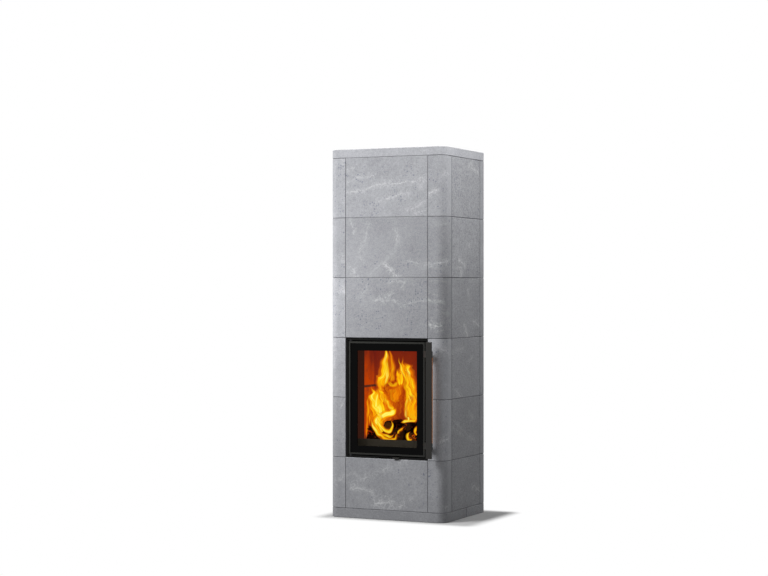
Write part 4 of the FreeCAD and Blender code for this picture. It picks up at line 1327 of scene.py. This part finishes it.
@dataclass
class FireBed:
    """Burning logs on a bed of charcoal, strewn over the hearth and heaped at the left."""

    row_start: float = -0.105
    row_radii: tuple[float, ...] = (0.024, 0.030, 0.040, 0.030)
    row_flats: tuple[float, ...] = (150.0, 135.0, 95.0, 20.0)
    top_radii: tuple[float, ...] = (0.026, 0.024)
    top_flats: tuple[float, ...] = (70.0, 95.0)
    log_gap: float = 0.0004
    flat_depth: float = 0.005
    sides: int = 44
    rings: int = 26
    end_rings: int = 2
    end_ring: float = 0.35
    end_wear: float = 0.004
    bare_logs: tuple[int, ...] = (3, 4)
    charred_end: float = 0.25
    bark_loss: float = 0.055
    bark: Point = (90.0, 90.0, 14.0)
    bark_depth: float = 0.075
    bark_step: float = 31.0
    crust: Point = (260.0, 260.0, 70.0)
    crust_depth: float = 0.045
    crust_step: float = 17.0
    strewn_lumps: int = 150
    strewn_sizes: Span = (0.006, 0.013)
    strewn_reach: float = 0.138
    strewn_margins: Span = (0.004, 0.008)
    strewn_lifts: Span = (0.6, 1.1)
    heap_lumps: int = 120
    heap_sizes: Span = (0.007, 0.012)
    heap_crowding: float = 1.6
    heap_edge: float = -0.146
    heap_width: float = 0.084
    heap_start: float = 0.006
    heap_depth: float = 0.065
    heap_height: float = 0.066
    heap_fall: float = 0.75
    wall: float = 0.149
    wall_room: float = 1.4
    lump_roughness: float = 0.45
    lump_grain: float = 120.0
    lump_shift: float = 90.0
    lump_widths: Span = (0.9, 1.4)
    lump_lengths: Span = (0.9, 1.3)
    lump_height: float = 0.8
    seed: int = 5

    def log_places(self) -> list[LogPlace]:
        """Lays a row of logs on the hearth and two more in the hollows between them.

        Returns:
            Where each log lies.
        """
        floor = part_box("hearth_slab")[1].z
        row: list[LogPlace] = []
        x = self.row_start
        for number, radius in enumerate(self.row_radii):
            if number:
                last = self.row_radii[number - 1]
                x += math.sqrt((last + radius + self.log_gap) ** 2 - (last - radius) ** 2)
            row.append(LogPlace(x, floor + radius + self.log_gap, radius, self.row_flats[number]))
        tops = [self.nested(row[number + 1], row[number + 2], radius, self.top_flats[number])
                for number, radius in enumerate(self.top_radii)]
        return row + tops

    def nested(self, left: LogPlace, right: LogPlace, radius: float, flat_angle: float) -> LogPlace:
        """Finds where a log lies in the hollow between two others.

        Args:
            left: The log on its left.
            right: The log on its right.
            radius: Its own radius.
            flat_angle: Direction of its split face.

        Returns:
            Its place.
        """
        to_left = left.radius + radius + self.log_gap
        to_right = right.radius + radius + self.log_gap
        run = Vector((right.x - left.x, right.z - left.z))
        along = (to_left ** 2 - to_right ** 2 + run.length ** 2) / (2 * run.length)
        rise = math.sqrt(to_left ** 2 - along ** 2)
        ahead = run.normalized()
        x = left.x + along * ahead.x - rise * ahead.y
        z = left.z + along * ahead.y + rise * ahead.x
        return LogPlace(x, z, radius, flat_angle)

    def log_mesh(self, place: LogPlace, number: int) -> bmesh.types.BMesh:
        """Models one split log with rough bark and a flat split face.

        Args:
            place: Where it lies.
            number: Its number, which varies the bark.

        Returns:
            The log's mesh, in place.
        """
        low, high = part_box("firewood_logs")
        half = (high.y - low.y) / 2
        bm = bmesh.new()
        bmesh.ops.create_cone(bm, cap_ends=True, segments=self.sides, radius1=place.radius,
                              radius2=place.radius, depth=2 * half)
        long_edges = [edge for edge in bm.edges if abs(edge.verts[0].co.z - edge.verts[1].co.z) > TINY]
        bmesh.ops.subdivide_edges(bm, edges=long_edges, cuts=self.rings, use_grid_fill=True)
        caps = [face for face in bm.faces if len(face.verts) > 4]
        ring = place.radius * self.end_ring
        for _ in range(self.end_rings):
            bmesh.ops.inset_region(bm, faces=caps, thickness=ring, use_even_offset=True)
        bmesh.ops.poke(bm, faces=caps)
        radial = bm.verts.layers.float.new("radial")
        fresh = bm.verts.layers.float.new("fresh")
        angle = math.radians(place.flat_angle)
        split = Vector((math.cos(angle), math.sin(angle)))
        limit = place.radius - self.flat_depth
        for vert in bm.verts:
            flat = vert.co.to_2d()
            at_end = abs(vert.co.z) > half - TINY
            vert[radial] = min(1.0, flat.length / place.radius)
            vert[fresh] = 1.0 if at_end and number in self.bare_logs else self.charred_end
            stir = self.roughness(vert.co, self.bark, self.bark_step * number)
            crust = self.roughness(vert.co, self.crust, self.crust_step * number)
            flat *= 1.0 - vert[radial] * (self.bark_loss + self.bark_depth * stir + self.crust_depth * crust)
            over = flat.dot(split) - limit
            if over > 0:
                flat -= split * over
            vert.co.x, vert.co.y = flat
            if at_end:
                vert.co.z -= math.copysign(self.end_wear * (0.5 + 0.5 * stir), vert.co.z)
        lying = Matrix.Rotation(math.pi / 2, 4, "X")
        stand = Matrix.Translation((place.x, (low.y + high.y) / 2, place.z)) @ lying
        bmesh.ops.transform(bm, matrix=stand, verts=bm.verts)
        bmesh.ops.recalc_face_normals(bm, faces=bm.faces)
        return bm

    @staticmethod
    def roughness(place: Vector, grain: Point, shift: float) -> float:
        """Gives the roughness of bark.

        Args:
            place: The place on the log.
            grain: Bumps per metre along each axis.
            shift: How far this log's pattern is moved along it.

        Returns:
            The roughness, -1 to 1.
        """
        x, y, z = (part * scale for part, scale in zip(place, grain))
        return noise.noise(Vector((x, y, z + shift)))

    def build_logs(self) -> None:
        """Builds all logs as one piece that stands for the plain ones."""
        stack = join_meshes(self.log_mesh(place, number) for number, place in enumerate(self.log_places()))
        piece = new_piece("charred_firewood", stack, CharredLog("charred_wood").build(), Body.SHELL)
        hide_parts("firewood_logs")

    def build_embers(self) -> None:
        """Strews charcoal lumps round the logs and heaps more of them at the left."""
        draw = random.Random(self.seed)
        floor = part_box("hearth_slab")[1].z
        low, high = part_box("firewood_logs")
        before, behind = self.strewn_margins
        bm = bmesh.new()
        for _ in range(self.strewn_lumps):
            size = draw.uniform(*self.strewn_sizes)
            x = draw.uniform(-self.strewn_reach, self.strewn_reach)
            y = draw.uniform(low.y + before, high.y + behind)
            z = floor + size * draw.uniform(*self.strewn_lifts)
            self.lump(bm, draw, Vector((x, y, z)), size)
        for _ in range(self.heap_lumps):
            size = draw.uniform(*self.heap_sizes)
            share = draw.random() ** self.heap_crowding
            peak = self.heap_height * (1.0 - self.heap_fall * share)
            x = max(self.heap_edge + self.heap_width * share, self.wall_room * size - self.wall)
            y = low.y + self.heap_start + self.heap_depth * draw.random() ** self.heap_crowding
            z = floor + size + peak * draw.random()
            self.lump(bm, draw, Vector((x, y, z)), size)
        piece = new_piece("ember_bed", bm, Charcoal("charcoal").build(), Body.SHELL, smooth=False)

    def lump(self, bm: bmesh.types.BMesh, draw: random.Random, place: Vector, size: float) -> None:
        """Adds one broken lump of charcoal.

        Args:
            bm: The mesh of all lumps.
            draw: The random numbers for its shape.
            place: Where it lies.
            size: Its rough radius.
        """
        made = bmesh.ops.create_icosphere(bm, subdivisions=2, radius=size)["verts"]
        for vert in made:
            bump = noise.noise(vert.co * self.lump_grain + place * self.lump_shift)
            vert.co *= 1.0 + self.lump_roughness * bump
        angle = draw.uniform(0, math.tau)
        axle = Vector((draw.random(), draw.random(), 1)).normalized()
        width = draw.uniform(*self.lump_widths)
        length = draw.uniform(*self.lump_lengths)
        stretch = Matrix.Diagonal((width, length, self.lump_height, 1.0))
        stand = Matrix.Translation(place) @ stretch @ Matrix.Rotation(angle, 4, axle)
        bmesh.ops.transform(bm, matrix=stand, verts=made)

    def build(self) -> None:
        """Builds logs and embers."""
        self.build_logs()
        self.build_embers()


@dataclass(frozen=True)
class Tongue:
    """One tongue of flame: its depth, its centre line with half widths in millimetres, heat and body."""

    depth: float
    line: tuple[Point, ...]
    heat: float
    body: float = 1.0


@dataclass
class FlameTongues:
    """The sheet-like tongues of flame, lying one behind the other; sizes in millimetres."""

    across: int = 10
    along: int = 36
    bulge: float = 0.35
    widen: float = 1.6
    sway: float = 0.40
    sway_across: float = 0.8
    sway_length: float = 26.0
    sway_step: float = 3.1
    stray: float = 2.8
    seed_step: float = 3.7
    least_half: float = 11.0
    thinnest: float = 0.5
    reach: float = 146.0
    floor: float = 353.0
    roof: float = 842.0
    tongues: tuple[Tongue, ...] = (
        Tongue(-30, ((-80, 410, 56), (-80, 485, 60), (-70, 550, 66), (-60, 600, 66), (-50, 655, 42)),
               0.54, 0.75),
        Tongue(-60, ((70, 440, 26), (70, 510, 32), (55, 575, 26), (35, 645, 22), (20, 715, 12)), 0.80, 0.85),
        Tongue(-65, ((-30, 525, 14), (-30, 560, 30), (-20, 600, 36), (-15, 640, 32), (-10, 695, 16)),
               0.62, 0.80),
        Tongue(-100, ((-95, 380, 16), (-110, 440, 26), (-105, 520, 32), (-95, 590, 28), (-90, 645, 14)),
               0.84, 0.9),
        Tongue(-50, ((-45, 525, 21), (-45, 555, 27), (-45, 585, 27), (-40, 610, 16)), 0.78, 0.7),
        Tongue(-85, ((-110, 575, 10), (-105, 610, 20), (-85, 645, 28), (-80, 685, 25), (-75, 730, 21),
                     (-75, 775, 16), (-80, 840, 10)), 0.93),
        Tongue(-70, ((-60, 610, 11), (-50, 655, 13), (-45, 705, 12), (-60, 770, 9), (-65, 815, 6)),
               0.74, 0.8),
        Tongue(-90, ((-80, 600, 6), (-70, 640, 9), (-65, 680, 10), (-70, 730, 9), (-75, 790, 6)), 0.98, 0.7),
        Tongue(-60, ((35, 455, 10), (40, 505, 24), (45, 545, 28), (40, 590, 26), (30, 630, 27), (20, 670, 30),
                     (10, 700, 29), (5, 730, 22), (10, 765, 10)), 0.90),
        Tongue(-75, ((55, 515, 7), (60, 555, 10), (50, 590, 11), (35, 640, 11), (15, 680, 11), (-5, 720, 10),
                     (-10, 750, 5)), 1.0, 0.85),
        Tongue(-75, ((30, 450, 6), (30, 500, 9), (35, 540, 9), (35, 580, 6)), 0.98, 0.75),
        Tongue(-80, ((85, 485, 14), (75, 545, 17), (60, 580, 15), (45, 610, 11), (40, 645, 10), (30, 690, 9),
                     (15, 740, 5)), 0.98, 0.8),
        Tongue(-80, ((0, 610, 7), (-5, 645, 13), (-10, 665, 12), (-20, 700, 6)), 0.92),
        Tongue(-80, ((0, 615, 7), (5, 650, 10), (10, 690, 6)), 0.92),
        Tongue(-75, ((-70, 645, 9), (-50, 615, 12), (-30, 620, 13), (0, 645, 11)), 0.86, 0.7),
        Tongue(-130, ((-60, 440, 28), (-85, 485, 44), (-105, 525, 39), (-110, 560, 33), (-115, 585, 19),
                      (-125, 620, 8)), 0.92),
        Tongue(-135, ((-105, 510, 8), (-100, 545, 14), (-90, 590, 8)), 1.02, 0.7),
        Tongue(-145, ((-120, 410, 6), (-130, 460, 10), (-135, 500, 10), (-135, 540, 10), (-125, 605, 6)),
               0.88, 0.8),
        Tongue(-150, ((-145, 360, 5), (-140, 430, 8), (-135, 510, 10), (-130, 590, 7)), 0.66, 0.8),
        Tongue(-110, ((-15, 470, 8), (-30, 495, 12), (-40, 515, 12), (-55, 540, 11), (-60, 560, 10),
                      (-55, 615, 5)), 0.95, 0.9),
        Tongue(-105, ((-60, 515, 13), (-75, 555, 19), (-90, 575, 16), (-95, 605, 8)), 0.84),
        Tongue(-135, ((-115, 515, 8), (-90, 475, 15), (-70, 465, 18), (-45, 480, 18), (-15, 490, 15),
                      (0, 505, 12), (15, 525, 6)), 1.0),
        Tongue(-140, ((-65, 360, 14), (-80, 415, 20), (-85, 450, 25), (-70, 495, 20)), 1.0, 0.9),
        Tongue(-150, ((-130, 490, 5), (-110, 430, 8), (-85, 395, 10), (-60, 375, 9), (-30, 365, 8),
                      (0, 370, 9), (15, 390, 8), (30, 425, 4)), 0.98, 0.9),
        Tongue(-145, ((-120, 470, 4), (-95, 430, 6), (-75, 400, 7), (-50, 385, 7), (-25, 380, 6),
                      (-5, 390, 5), (5, 405, 3)), 0.92, 0.8),
        Tongue(-150, ((-95, 480, 5), (-70, 430, 7), (-50, 410, 7), (-25, 405, 7), (-10, 420, 6),
                      (-10, 445, 5), (-25, 485, 4)), 0.94, 0.9),
        Tongue(-150, ((20, 390, 3), (25, 405, 5), (40, 415, 6), (60, 430, 3)), 1.02, 0.9),
        Tongue(-150, ((100, 380, 3), (80, 365, 6), (70, 380, 6), (75, 395, 5), (95, 410, 3)), 0.98, 0.9),
        Tongue(-150, ((125, 390, 3), (110, 400, 5), (110, 415, 5), (125, 445, 3)), 0.92, 0.9),
        Tongue(-120, ((15, 445, 3), (40, 450, 5), (60, 455, 5), (85, 455, 6), (100, 460, 6), (120, 470, 3)),
               0.98, 0.9),
        Tongue(-120, ((50, 450, 3), (60, 460, 4), (55, 475, 2)), 0.92, 0.8),
        Tongue(-120, ((90, 455, 4), (100, 470, 5), (95, 490, 2)), 0.92, 0.8),
        Tongue(-100, ((85, 440, 28), (75, 490, 34), (75, 535, 29), (80, 595, 16)), 0.80, 0.85),
        Tongue(-60, ((110, 440, 22), (110, 505, 26), (105, 560, 20), (95, 640, 9)), 0.92, 0.9),
    )

    def ribbon(self, tongue: Tongue, number: int) -> bmesh.types.BMesh:
        """Bends a grid into one tongue along its centre line.

        Args:
            tongue: The tongue's data.
            number: Its number, which varies its streaks.

        Returns:
            The tongue's mesh, in place.
        """
        bm = bmesh.new()
        bm.loops.layers.uv.new("UVMap")
        bmesh.ops.create_grid(bm, x_segments=self.across, y_segments=self.along, size=0.5, calc_uvs=True)
        layers = [bm.verts.layers.float.new(name) for name in FLAME_LAYERS]
        points = [Vector(point[:2]) for point in tongue.line]
        length = sum((after - before).length for before, after in zip(points, points[1:]))
        pace = max(1.0, self.least_half / max(point[2] for point in tongue.line))
        for vert in bm.verts:
            side = 2.0 * vert.co.x
            share = vert.co.y + 0.5
            place, ahead, half = self.on_line(tongue.line, share)
            edge = Vector((ahead.y, -ahead.x))
            run = length * share
            wave = Vector((self.sway_across * side, run / self.sway_length, self.sway_step * number))
            sway = (self.sway * half + self.stray) * noise.noise(wave)
            flat = place + edge * (side * half * self.widen + sway)
            x = max(-self.reach, min(self.reach, flat.x))
            y = tongue.depth + self.bulge * half * side * side
            z = max(self.floor, min(self.roof, flat.y))
            vert.co = Vector((x, y, z)) * MILLIMETRE
            values = (tongue.heat, tongue.body, self.seed_step * number,
                      MILLIMETRE * max(half * self.widen, self.least_half), MILLIMETRE * run * pace)
            for layer, value in zip(layers, values):
                vert[layer] = value
        return bm

    def on_line(self, line: Sequence[Point], share: float) -> tuple[Vector, Vector, float]:
        """Finds a place on a smooth centre line.

        Args:
            line: Points of X, Z and half width.
            share: How far along it, 0 to 1.

        Returns:
            The place, the direction there and the half width.
        """
        spans = len(line) - 1
        number = min(int(share * spans), spans - 1)
        t = share * spans - number
        p0, p1, p2, p3 = (Vector(line[max(0, min(spans, number + step))]) for step in (-1, 0, 1, 2))
        tangent1 = (p2 - p0) / 2
        tangent2 = (p3 - p1) / 2
        place = (p1 * (2 * t ** 3 - 3 * t ** 2 + 1) + tangent1 * (t ** 3 - 2 * t ** 2 + t)
                 + p2 * (3 * t ** 2 - 2 * t ** 3) + tangent2 * (t ** 3 - t ** 2))
        ahead = (p1 * (6 * t ** 2 - 6 * t) + tangent1 * (3 * t ** 2 - 4 * t + 1)
                 + p2 * (6 * t - 6 * t ** 2) + tangent2 * (3 * t ** 2 - 2 * t))
        return place.to_2d(), ahead.to_2d().normalized(), max(self.thinnest, place.z)

    def build(self) -> None:
        """Builds the flames as one piece."""
        fire = join_meshes(self.ribbon(tongue, number) for number, tongue in enumerate(self.tongues))
        piece = new_piece("flames", fire, Flame("flame").build(), Body.SHELL)
        piece.visible_shadow = False


@dataclass
class FireDoor:
    """Frame, glazed leaf, catch and handle, with the rope seal and the screws of the glass."""

    black: Colour = srgb(17, 17, 16)
    leaf: Colour = srgb(46, 46, 44)
    handle: Colour = srgb(44, 43, 41)
    stained: Colour = srgb(40, 36, 29)
    pin: Colour = srgb(58, 58, 60)
    screw_steel: Colour = srgb(120, 118, 114)
    rope: Colour = srgb(92, 90, 86)
    print_width: float = 0.0384
    print_floor: float = 0.0349
    print_top: float = 0.0366
    rope_width: float = 0.012
    rope_corner: float = 0.012
    rope_fullness: float = 1.15
    strand_radius: float = 0.0036
    strand_sides: int = 2
    strands: int = 3
    twist: float = 0.024
    steps_per_turn: int = 10
    screw_radius: float = 0.0032
    screw_height: float = 0.0022
    screw_taper: float = 0.82
    screw_sides: int = 24
    screw_inset: float = 0.0195
    screw_rows: int = 5
    recess_rim: float = 0.35
    recess_slope: float = 0.0002
    recess_depth: float = 0.6

    def build(self) -> None:
        """Dresses the door and adds its rope seal and screws."""
        black = PaintedSteel("black_stove_paint", self.black, 0.6, 0.12).build()
        dress(black, "door_frame", "frame_studs", "glass_retainer", "latch_housing", "air_slide")
        dress(PaintedSteel("leaf_paint", self.leaf, 0.5, 0.15).build(), "door_leaf")
        handle = PaintedSteel("handle_paint", self.handle, 0.45, 0.2).build()
        dress(handle, "handle_bar", "handle_arms", "air_lever")
        # The retainer's colour is a heat stain; its glow is painted light that fills the door frame's shadow
        # on its left end.
        stained = PaintedSteel("heat_stained_steel", self.stained, 0.6, 0.2, painted_fire_glow=0.5).build()
        dress(stained, "log_retainer")
        dress(OiledWood("oiled_wood").build(), "handle_grip")
        dress(RawSteel("pin_steel", self.pin, 0.4).build(), "hinge_pins", "latch_plunger")
        dress(FibreRope("fibre_seal").build(), "frame_fibre_seal", "glass_gaskets")
        dress(self.pane().build(), "door_glass")
        self.build_rope()
        self.build_screws()

    def pane(self) -> PrintedGlass:
        """Sets out the clear window on the glass."""
        low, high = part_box("door_glass")
        return PrintedGlass("printed_glass", high.x - self.print_width, low.z + self.print_floor,
                            high.z - self.print_top)

    def build_rope(self) -> None:
        """Twists the rope seal round the back of the leaf."""
        low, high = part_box("door_gasket")
        middle = (low + high) / 2
        half_x = (high.x - low.x - self.rope_width) / 2
        half_z = (high.z - low.z - self.rope_width) / 2
        turns = round(4 * (half_x + half_z) / self.twist)
        lift = self.rope_width / 2 - self.strand_radius
        steps = turns * self.steps_per_turn
        curve = bpy.data.curves.new("rope_strands", "CURVE")
        curve.dimensions = "3D"
        curve.bevel_depth = self.strand_radius
        curve.bevel_resolution = self.strand_sides
        for strand in range(self.strands):
            spline = curve.splines.new("POLY")
            spline.points.add(steps - 1)
            spline.use_cyclic_u = True
            for number, point in enumerate(spline.points):
                share = number / steps
                x, z, out = self.round_the_leaf(share, half_x, half_z)
                angle = math.tau * (share * turns + strand / self.strands)
                rise = lift * math.cos(angle)
                y = middle.y + lift * self.rope_fullness * math.sin(angle)
                point.co = (x + out.x * rise, y, middle.z + z + out.y * rise, 1.0)
        holder = bpy.data.objects.new("rope_strands", curve)
        mesh = bpy.data.meshes.new_from_object(holder)
        bpy.data.objects.remove(holder)
        bm = bmesh.new()
        bm.from_mesh(mesh)
        bpy.data.meshes.remove(mesh)
        piece = new_piece("door_rope_seal", bm, FibreRope("rope_yarn", self.rope).build(), Body.DOOR)
        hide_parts("door_gasket")

    def round_the_leaf(self, share: float, half_x: float, half_z: float) -> tuple[float, float, Vector]:
        """Follows a rectangle with rounded corners.

        Args:
            share: How far round, 0 to 1.
            half_x: Half its width.
            half_z: Half its height.

        Returns:
            X and Z from its centre, and the outward direction.
        """
        corner = self.rope_corner
        straight_x = 2 * (half_x - corner)
        straight_z = 2 * (half_z - corner)
        arc = math.pi / 2 * corner
        run = share * (2 * straight_x + 2 * straight_z + 4 * arc)
        heading = 0.0
        x, z = -straight_x / 2, -half_z
        for straight in (straight_x, straight_z, straight_x, straight_z):
            ahead = Vector((math.cos(heading), math.sin(heading)))
            out = Vector((ahead.y, -ahead.x))
            if run <= straight:
                return x + ahead.x * run, z + ahead.y * run, out
            run -= straight
            x, z = x + ahead.x * straight, z + ahead.y * straight
            centre = Vector((x, z)) - out * corner
            if run <= arc:
                turn = math.atan2(out.y, out.x) + run / corner
                out = Vector((math.cos(turn), math.sin(turn)))
                return centre.x + out.x * corner, centre.y + out.y * corner, out
            run -= arc
            heading += math.pi / 2
            out = Vector((math.sin(heading), -math.cos(heading)))
            x, z = centre.x + out.x * corner, centre.y + out.y * corner
        return x, z, out

    def build_screws(self) -> None:
        """Sets pan-head screws in the ring that holds the glass."""
        low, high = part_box("glass_retainer")
        inset = self.screw_inset
        rows = [low.z + inset + (high.z - low.z - 2 * inset) * step / (self.screw_rows - 1)
                for step in range(self.screw_rows)]
        places = [(side, z) for z in rows for side in (low.x + inset, high.x - inset)]
        places += [(0.0, low.z + inset), (0.0, high.z - inset)]
        bm = bmesh.new()
        for x, z in places:
            self.screw(bm, x, high.y, z)
        steel = RawSteel("screw_steel", self.screw_steel, 0.4).build()
        piece = new_piece("retainer_screws", bm, steel, Body.DOOR, smooth=False)

    def screw(self, bm: bmesh.types.BMesh, x: float, y: float, z: float) -> None:
        """Adds one screw head with a round recess, facing the fire.

        Args:
            bm: The mesh of all screws.
            x: Its place across the door.
            y: The face that it sits on.
            z: Its height.
        """
        height = self.screw_height
        made = bmesh.ops.create_cone(bm, cap_ends=True, segments=self.screw_sides, radius1=self.screw_radius,
                                     radius2=self.screw_radius * self.screw_taper, depth=height)["verts"]
        faces = (face for vert in made for face in vert.link_faces)
        top = max(faces, key=lambda face: face.calc_center_median().z)
        rim = bmesh.ops.inset_region(bm, faces=[top], thickness=self.screw_radius * self.recess_rim)
        sunk = bmesh.ops.inset_region(bm, faces=[top], thickness=self.recess_slope,
                                      depth=-height * self.recess_depth)
        verts = {vert for face in rim["faces"] + sunk["faces"] + [top] for vert in face.verts} | set(made)
        stand = Matrix.Translation((x, y + height / 2, z)) @ Matrix.Rotation(-math.pi / 2, 4, "X")
        bmesh.ops.transform(bm, matrix=stand, verts=list(verts))


@dataclass(frozen=True)
class SoftLamp:
    """One soft rectangular lamp: where it hangs, what it points at, its size, watts and beam in degrees."""

    name: str
    place: Point
    target: Point
    size: Span
    power: float
    beam: float = 180.0

    def build(self) -> None:
        """Hangs the lamp, out of sight of the camera and of mirrors."""
        light = bpy.data.lights.new(self.name, "AREA")
        light.shape = "RECTANGLE"
        light.size, light.size_y = self.size
        light.energy = self.power
        light.spread = math.radians(self.beam)
        lamp = bpy.data.objects.new(self.name, light)
        lamp.location = self.place
        lamp.rotation_euler = (Vector(self.target) - Vector(self.place)).to_track_quat("-Z", "Y").to_euler()
        lamp.visible_camera = False
        lamp.visible_glossy = False
        bpy.context.scene.collection.objects.link(lamp)


@dataclass
class Studio:
    """White floor, soft lamps and the camera of the photograph."""

    lens: float = 83.785
    sensor: float = 36.0
    camera_place: Point = (3.5743, -7.6999, 1.0749)
    camera_yaw: float = math.radians(25.65)
    floor_reach: float = 30.0
    floor_front: float = 7.4
    floor_bounce: float = 0.12
    floor_pale_painted_shade: float = 0.64
    ambient: float = 0.26
    shadow_right: float = 0.10
    shadow_back: float = 0.02
    shadow_fade: float = 0.09
    lamps: tuple[SoftLamp, ...] = (
        SoftLamp("key_softbox", (-1.9, -2.7, 3.0), (0.0, -0.2, 1.1), (1.6, 1.6), 134.0),
        SoftLamp("side_softbox", (1.7, -0.45, 2.7), (0.3, -0.1, 1.75), (0.6, 0.6), 6.8, 76.0),
        SoftLamp("left_softbox", (-0.95, -0.72, 1.05), (-0.25, -0.2, 1.0), (0.3, 0.6), 1.3, 90.0),
        SoftLamp("rear_softbox", (0.0, 2.7, 0.95), (0.0, 0.2, 0.95), (0.6, 1.7), 4.2, 32.0),
    )

    def build(self) -> None:
        """Sets up everything round the heater."""
        self.build_world()
        self.build_floor()
        for lamp in self.lamps:
            lamp.build()
        self.build_camera()

    def build_world(self) -> None:
        """Makes a white surround that lights the heater only softly."""
        world = bpy.data.worlds.new("white_surround")
        bpy.context.scene.world = world
        world.use_nodes = True
        tree = world.node_tree
        seen = self.seen_directly(tree)
        back = tree.nodes["Background"]
        strength = tree.nodes.new("ShaderNodeMapRange")
        strength.inputs["To Min"].default_value = self.ambient
        strength.inputs["To Max"].default_value = 1.0
        tree.links.new(seen, strength.inputs["Value"])
        tree.links.new(strength.outputs[0], back.inputs["Strength"])
        back.inputs["Color"].default_value = (*WHITE, 1.0)

    def seen_directly(self, tree: bpy.types.NodeTree) -> Socket:
        """Gives 1 for rays from the camera, in mirrors and through glass.

        Args:
            tree: The node tree to work in.

        Returns:
            The number.
        """
        path = tree.nodes.new("ShaderNodeLightPath")
        result = path.outputs["Is Camera Ray"]
        for name in ("Is Glossy Ray", "Is Transmission Ray"):
            larger = tree.nodes.new("ShaderNodeMath")
            larger.operation = "MAXIMUM"
            tree.links.new(result, larger.inputs[0])
            tree.links.new(path.outputs[name], larger.inputs[1])
            result = larger.outputs[0]
        return result

    def build_floor(self) -> None:
        """Lays the floor: white where it is seen, and near the heater a darker pale floor that holds the
        heater's real shadow and paints shade round it.
        """
        bm = bmesh.new()
        bmesh.ops.create_grid(bm, x_segments=1, y_segments=1, size=self.floor_reach)
        ahead = Matrix.Translation((0.0, self.floor_reach - self.floor_front, 0.0))
        bmesh.ops.transform(bm, matrix=ahead, verts=bm.verts)
        mesh = bpy.data.meshes.new("floor")
        bm.to_mesh(mesh)
        bm.free()
        floor = bpy.data.objects.new("floor", mesh)
        bpy.context.scene.collection.objects.link(floor)
        n = Nodes("studio_floor")
        seen = self.seen_directly(n.tree)
        away = self.clear_of_shadow(n)
        bounce = n.add("BsdfDiffuse", {"Color": (self.floor_bounce,) * 3})
        # pale: the floor's darker colour near the heater, which paints shade round it besides holding its
        # real shadow
        pale = n.add("BsdfDiffuse", {"Color": (self.floor_pale_painted_shade,) * 3})
        white = n.add("Emission", {"Color": WHITE, "Strength": 1.0})
        shown = n.add("MixShader", {0: away, 1: pale.outputs[0], 2: white.outputs[0]})
        both = n.add("MixShader", {0: seen, 1: bounce.outputs[0], 2: shown.outputs[0]})
        n.tree.links.new(both.outputs[0], n.output.inputs["Surface"])
        mesh.materials.append(n.material)

    def clear_of_shadow(self, n: Nodes) -> Socket:
        """Works out where the floor turns plain white, past a box round the heater that reaches further right
        and back; inside, the pale floor holds real shadow and painted shade.

        Args:
            n: The floor's nodes.

        Returns:
            0 near the heater, 1 away from it.
        """
        low, high = CAD_BOX
        x, y, _ = n.axes(n.here())
        to_left = n.math("SUBTRACT", low.x, x)
        to_right = n.math("SUBTRACT", x, high.x + self.shadow_right)
        to_front = n.math("SUBTRACT", -high.y, y)
        to_back = n.math("SUBTRACT", y, high.y + self.shadow_back)
        beside = n.math("MAXIMUM", n.math("MAXIMUM", to_left, to_right), 0.0)
        before = n.math("MAXIMUM", n.math("MAXIMUM", to_front, to_back), 0.0)
        outside = n.add("CombineXYZ", {0: beside, 1: before}).outputs[0]
        return n.ease(n.vector("DISTANCE", outside, (0.0, 0.0, 0.0)), (0.0, self.shadow_fade))

    def build_camera(self) -> None:
        """Places the camera where the photograph was taken."""
        data = bpy.data.cameras.new("camera")
        data.lens = self.lens
        data.sensor_width = self.sensor
        camera = bpy.data.objects.new("camera", data)
        camera.location = self.camera_place
        camera.rotation_euler = (math.pi / 2, 0.0, self.camera_yaw)
        bpy.context.scene.collection.objects.link(camera)
        bpy.context.scene.camera = camera


def main() -> None:
    """Builds the heater's looks piece by piece."""
    logging.basicConfig(level=logging.INFO, format="%(name)s: %(message)s")
    bpy.context.scene.view_settings.view_transform = "Standard"
    for assembly in (Studio(), StoneShell(), Core(), FireBed(), FlameTongues(), FireDoor()):
        assembly.build()
        LOG.info("finished %s", type(assembly).__name__)


if __name__ == "__main__":
    main()
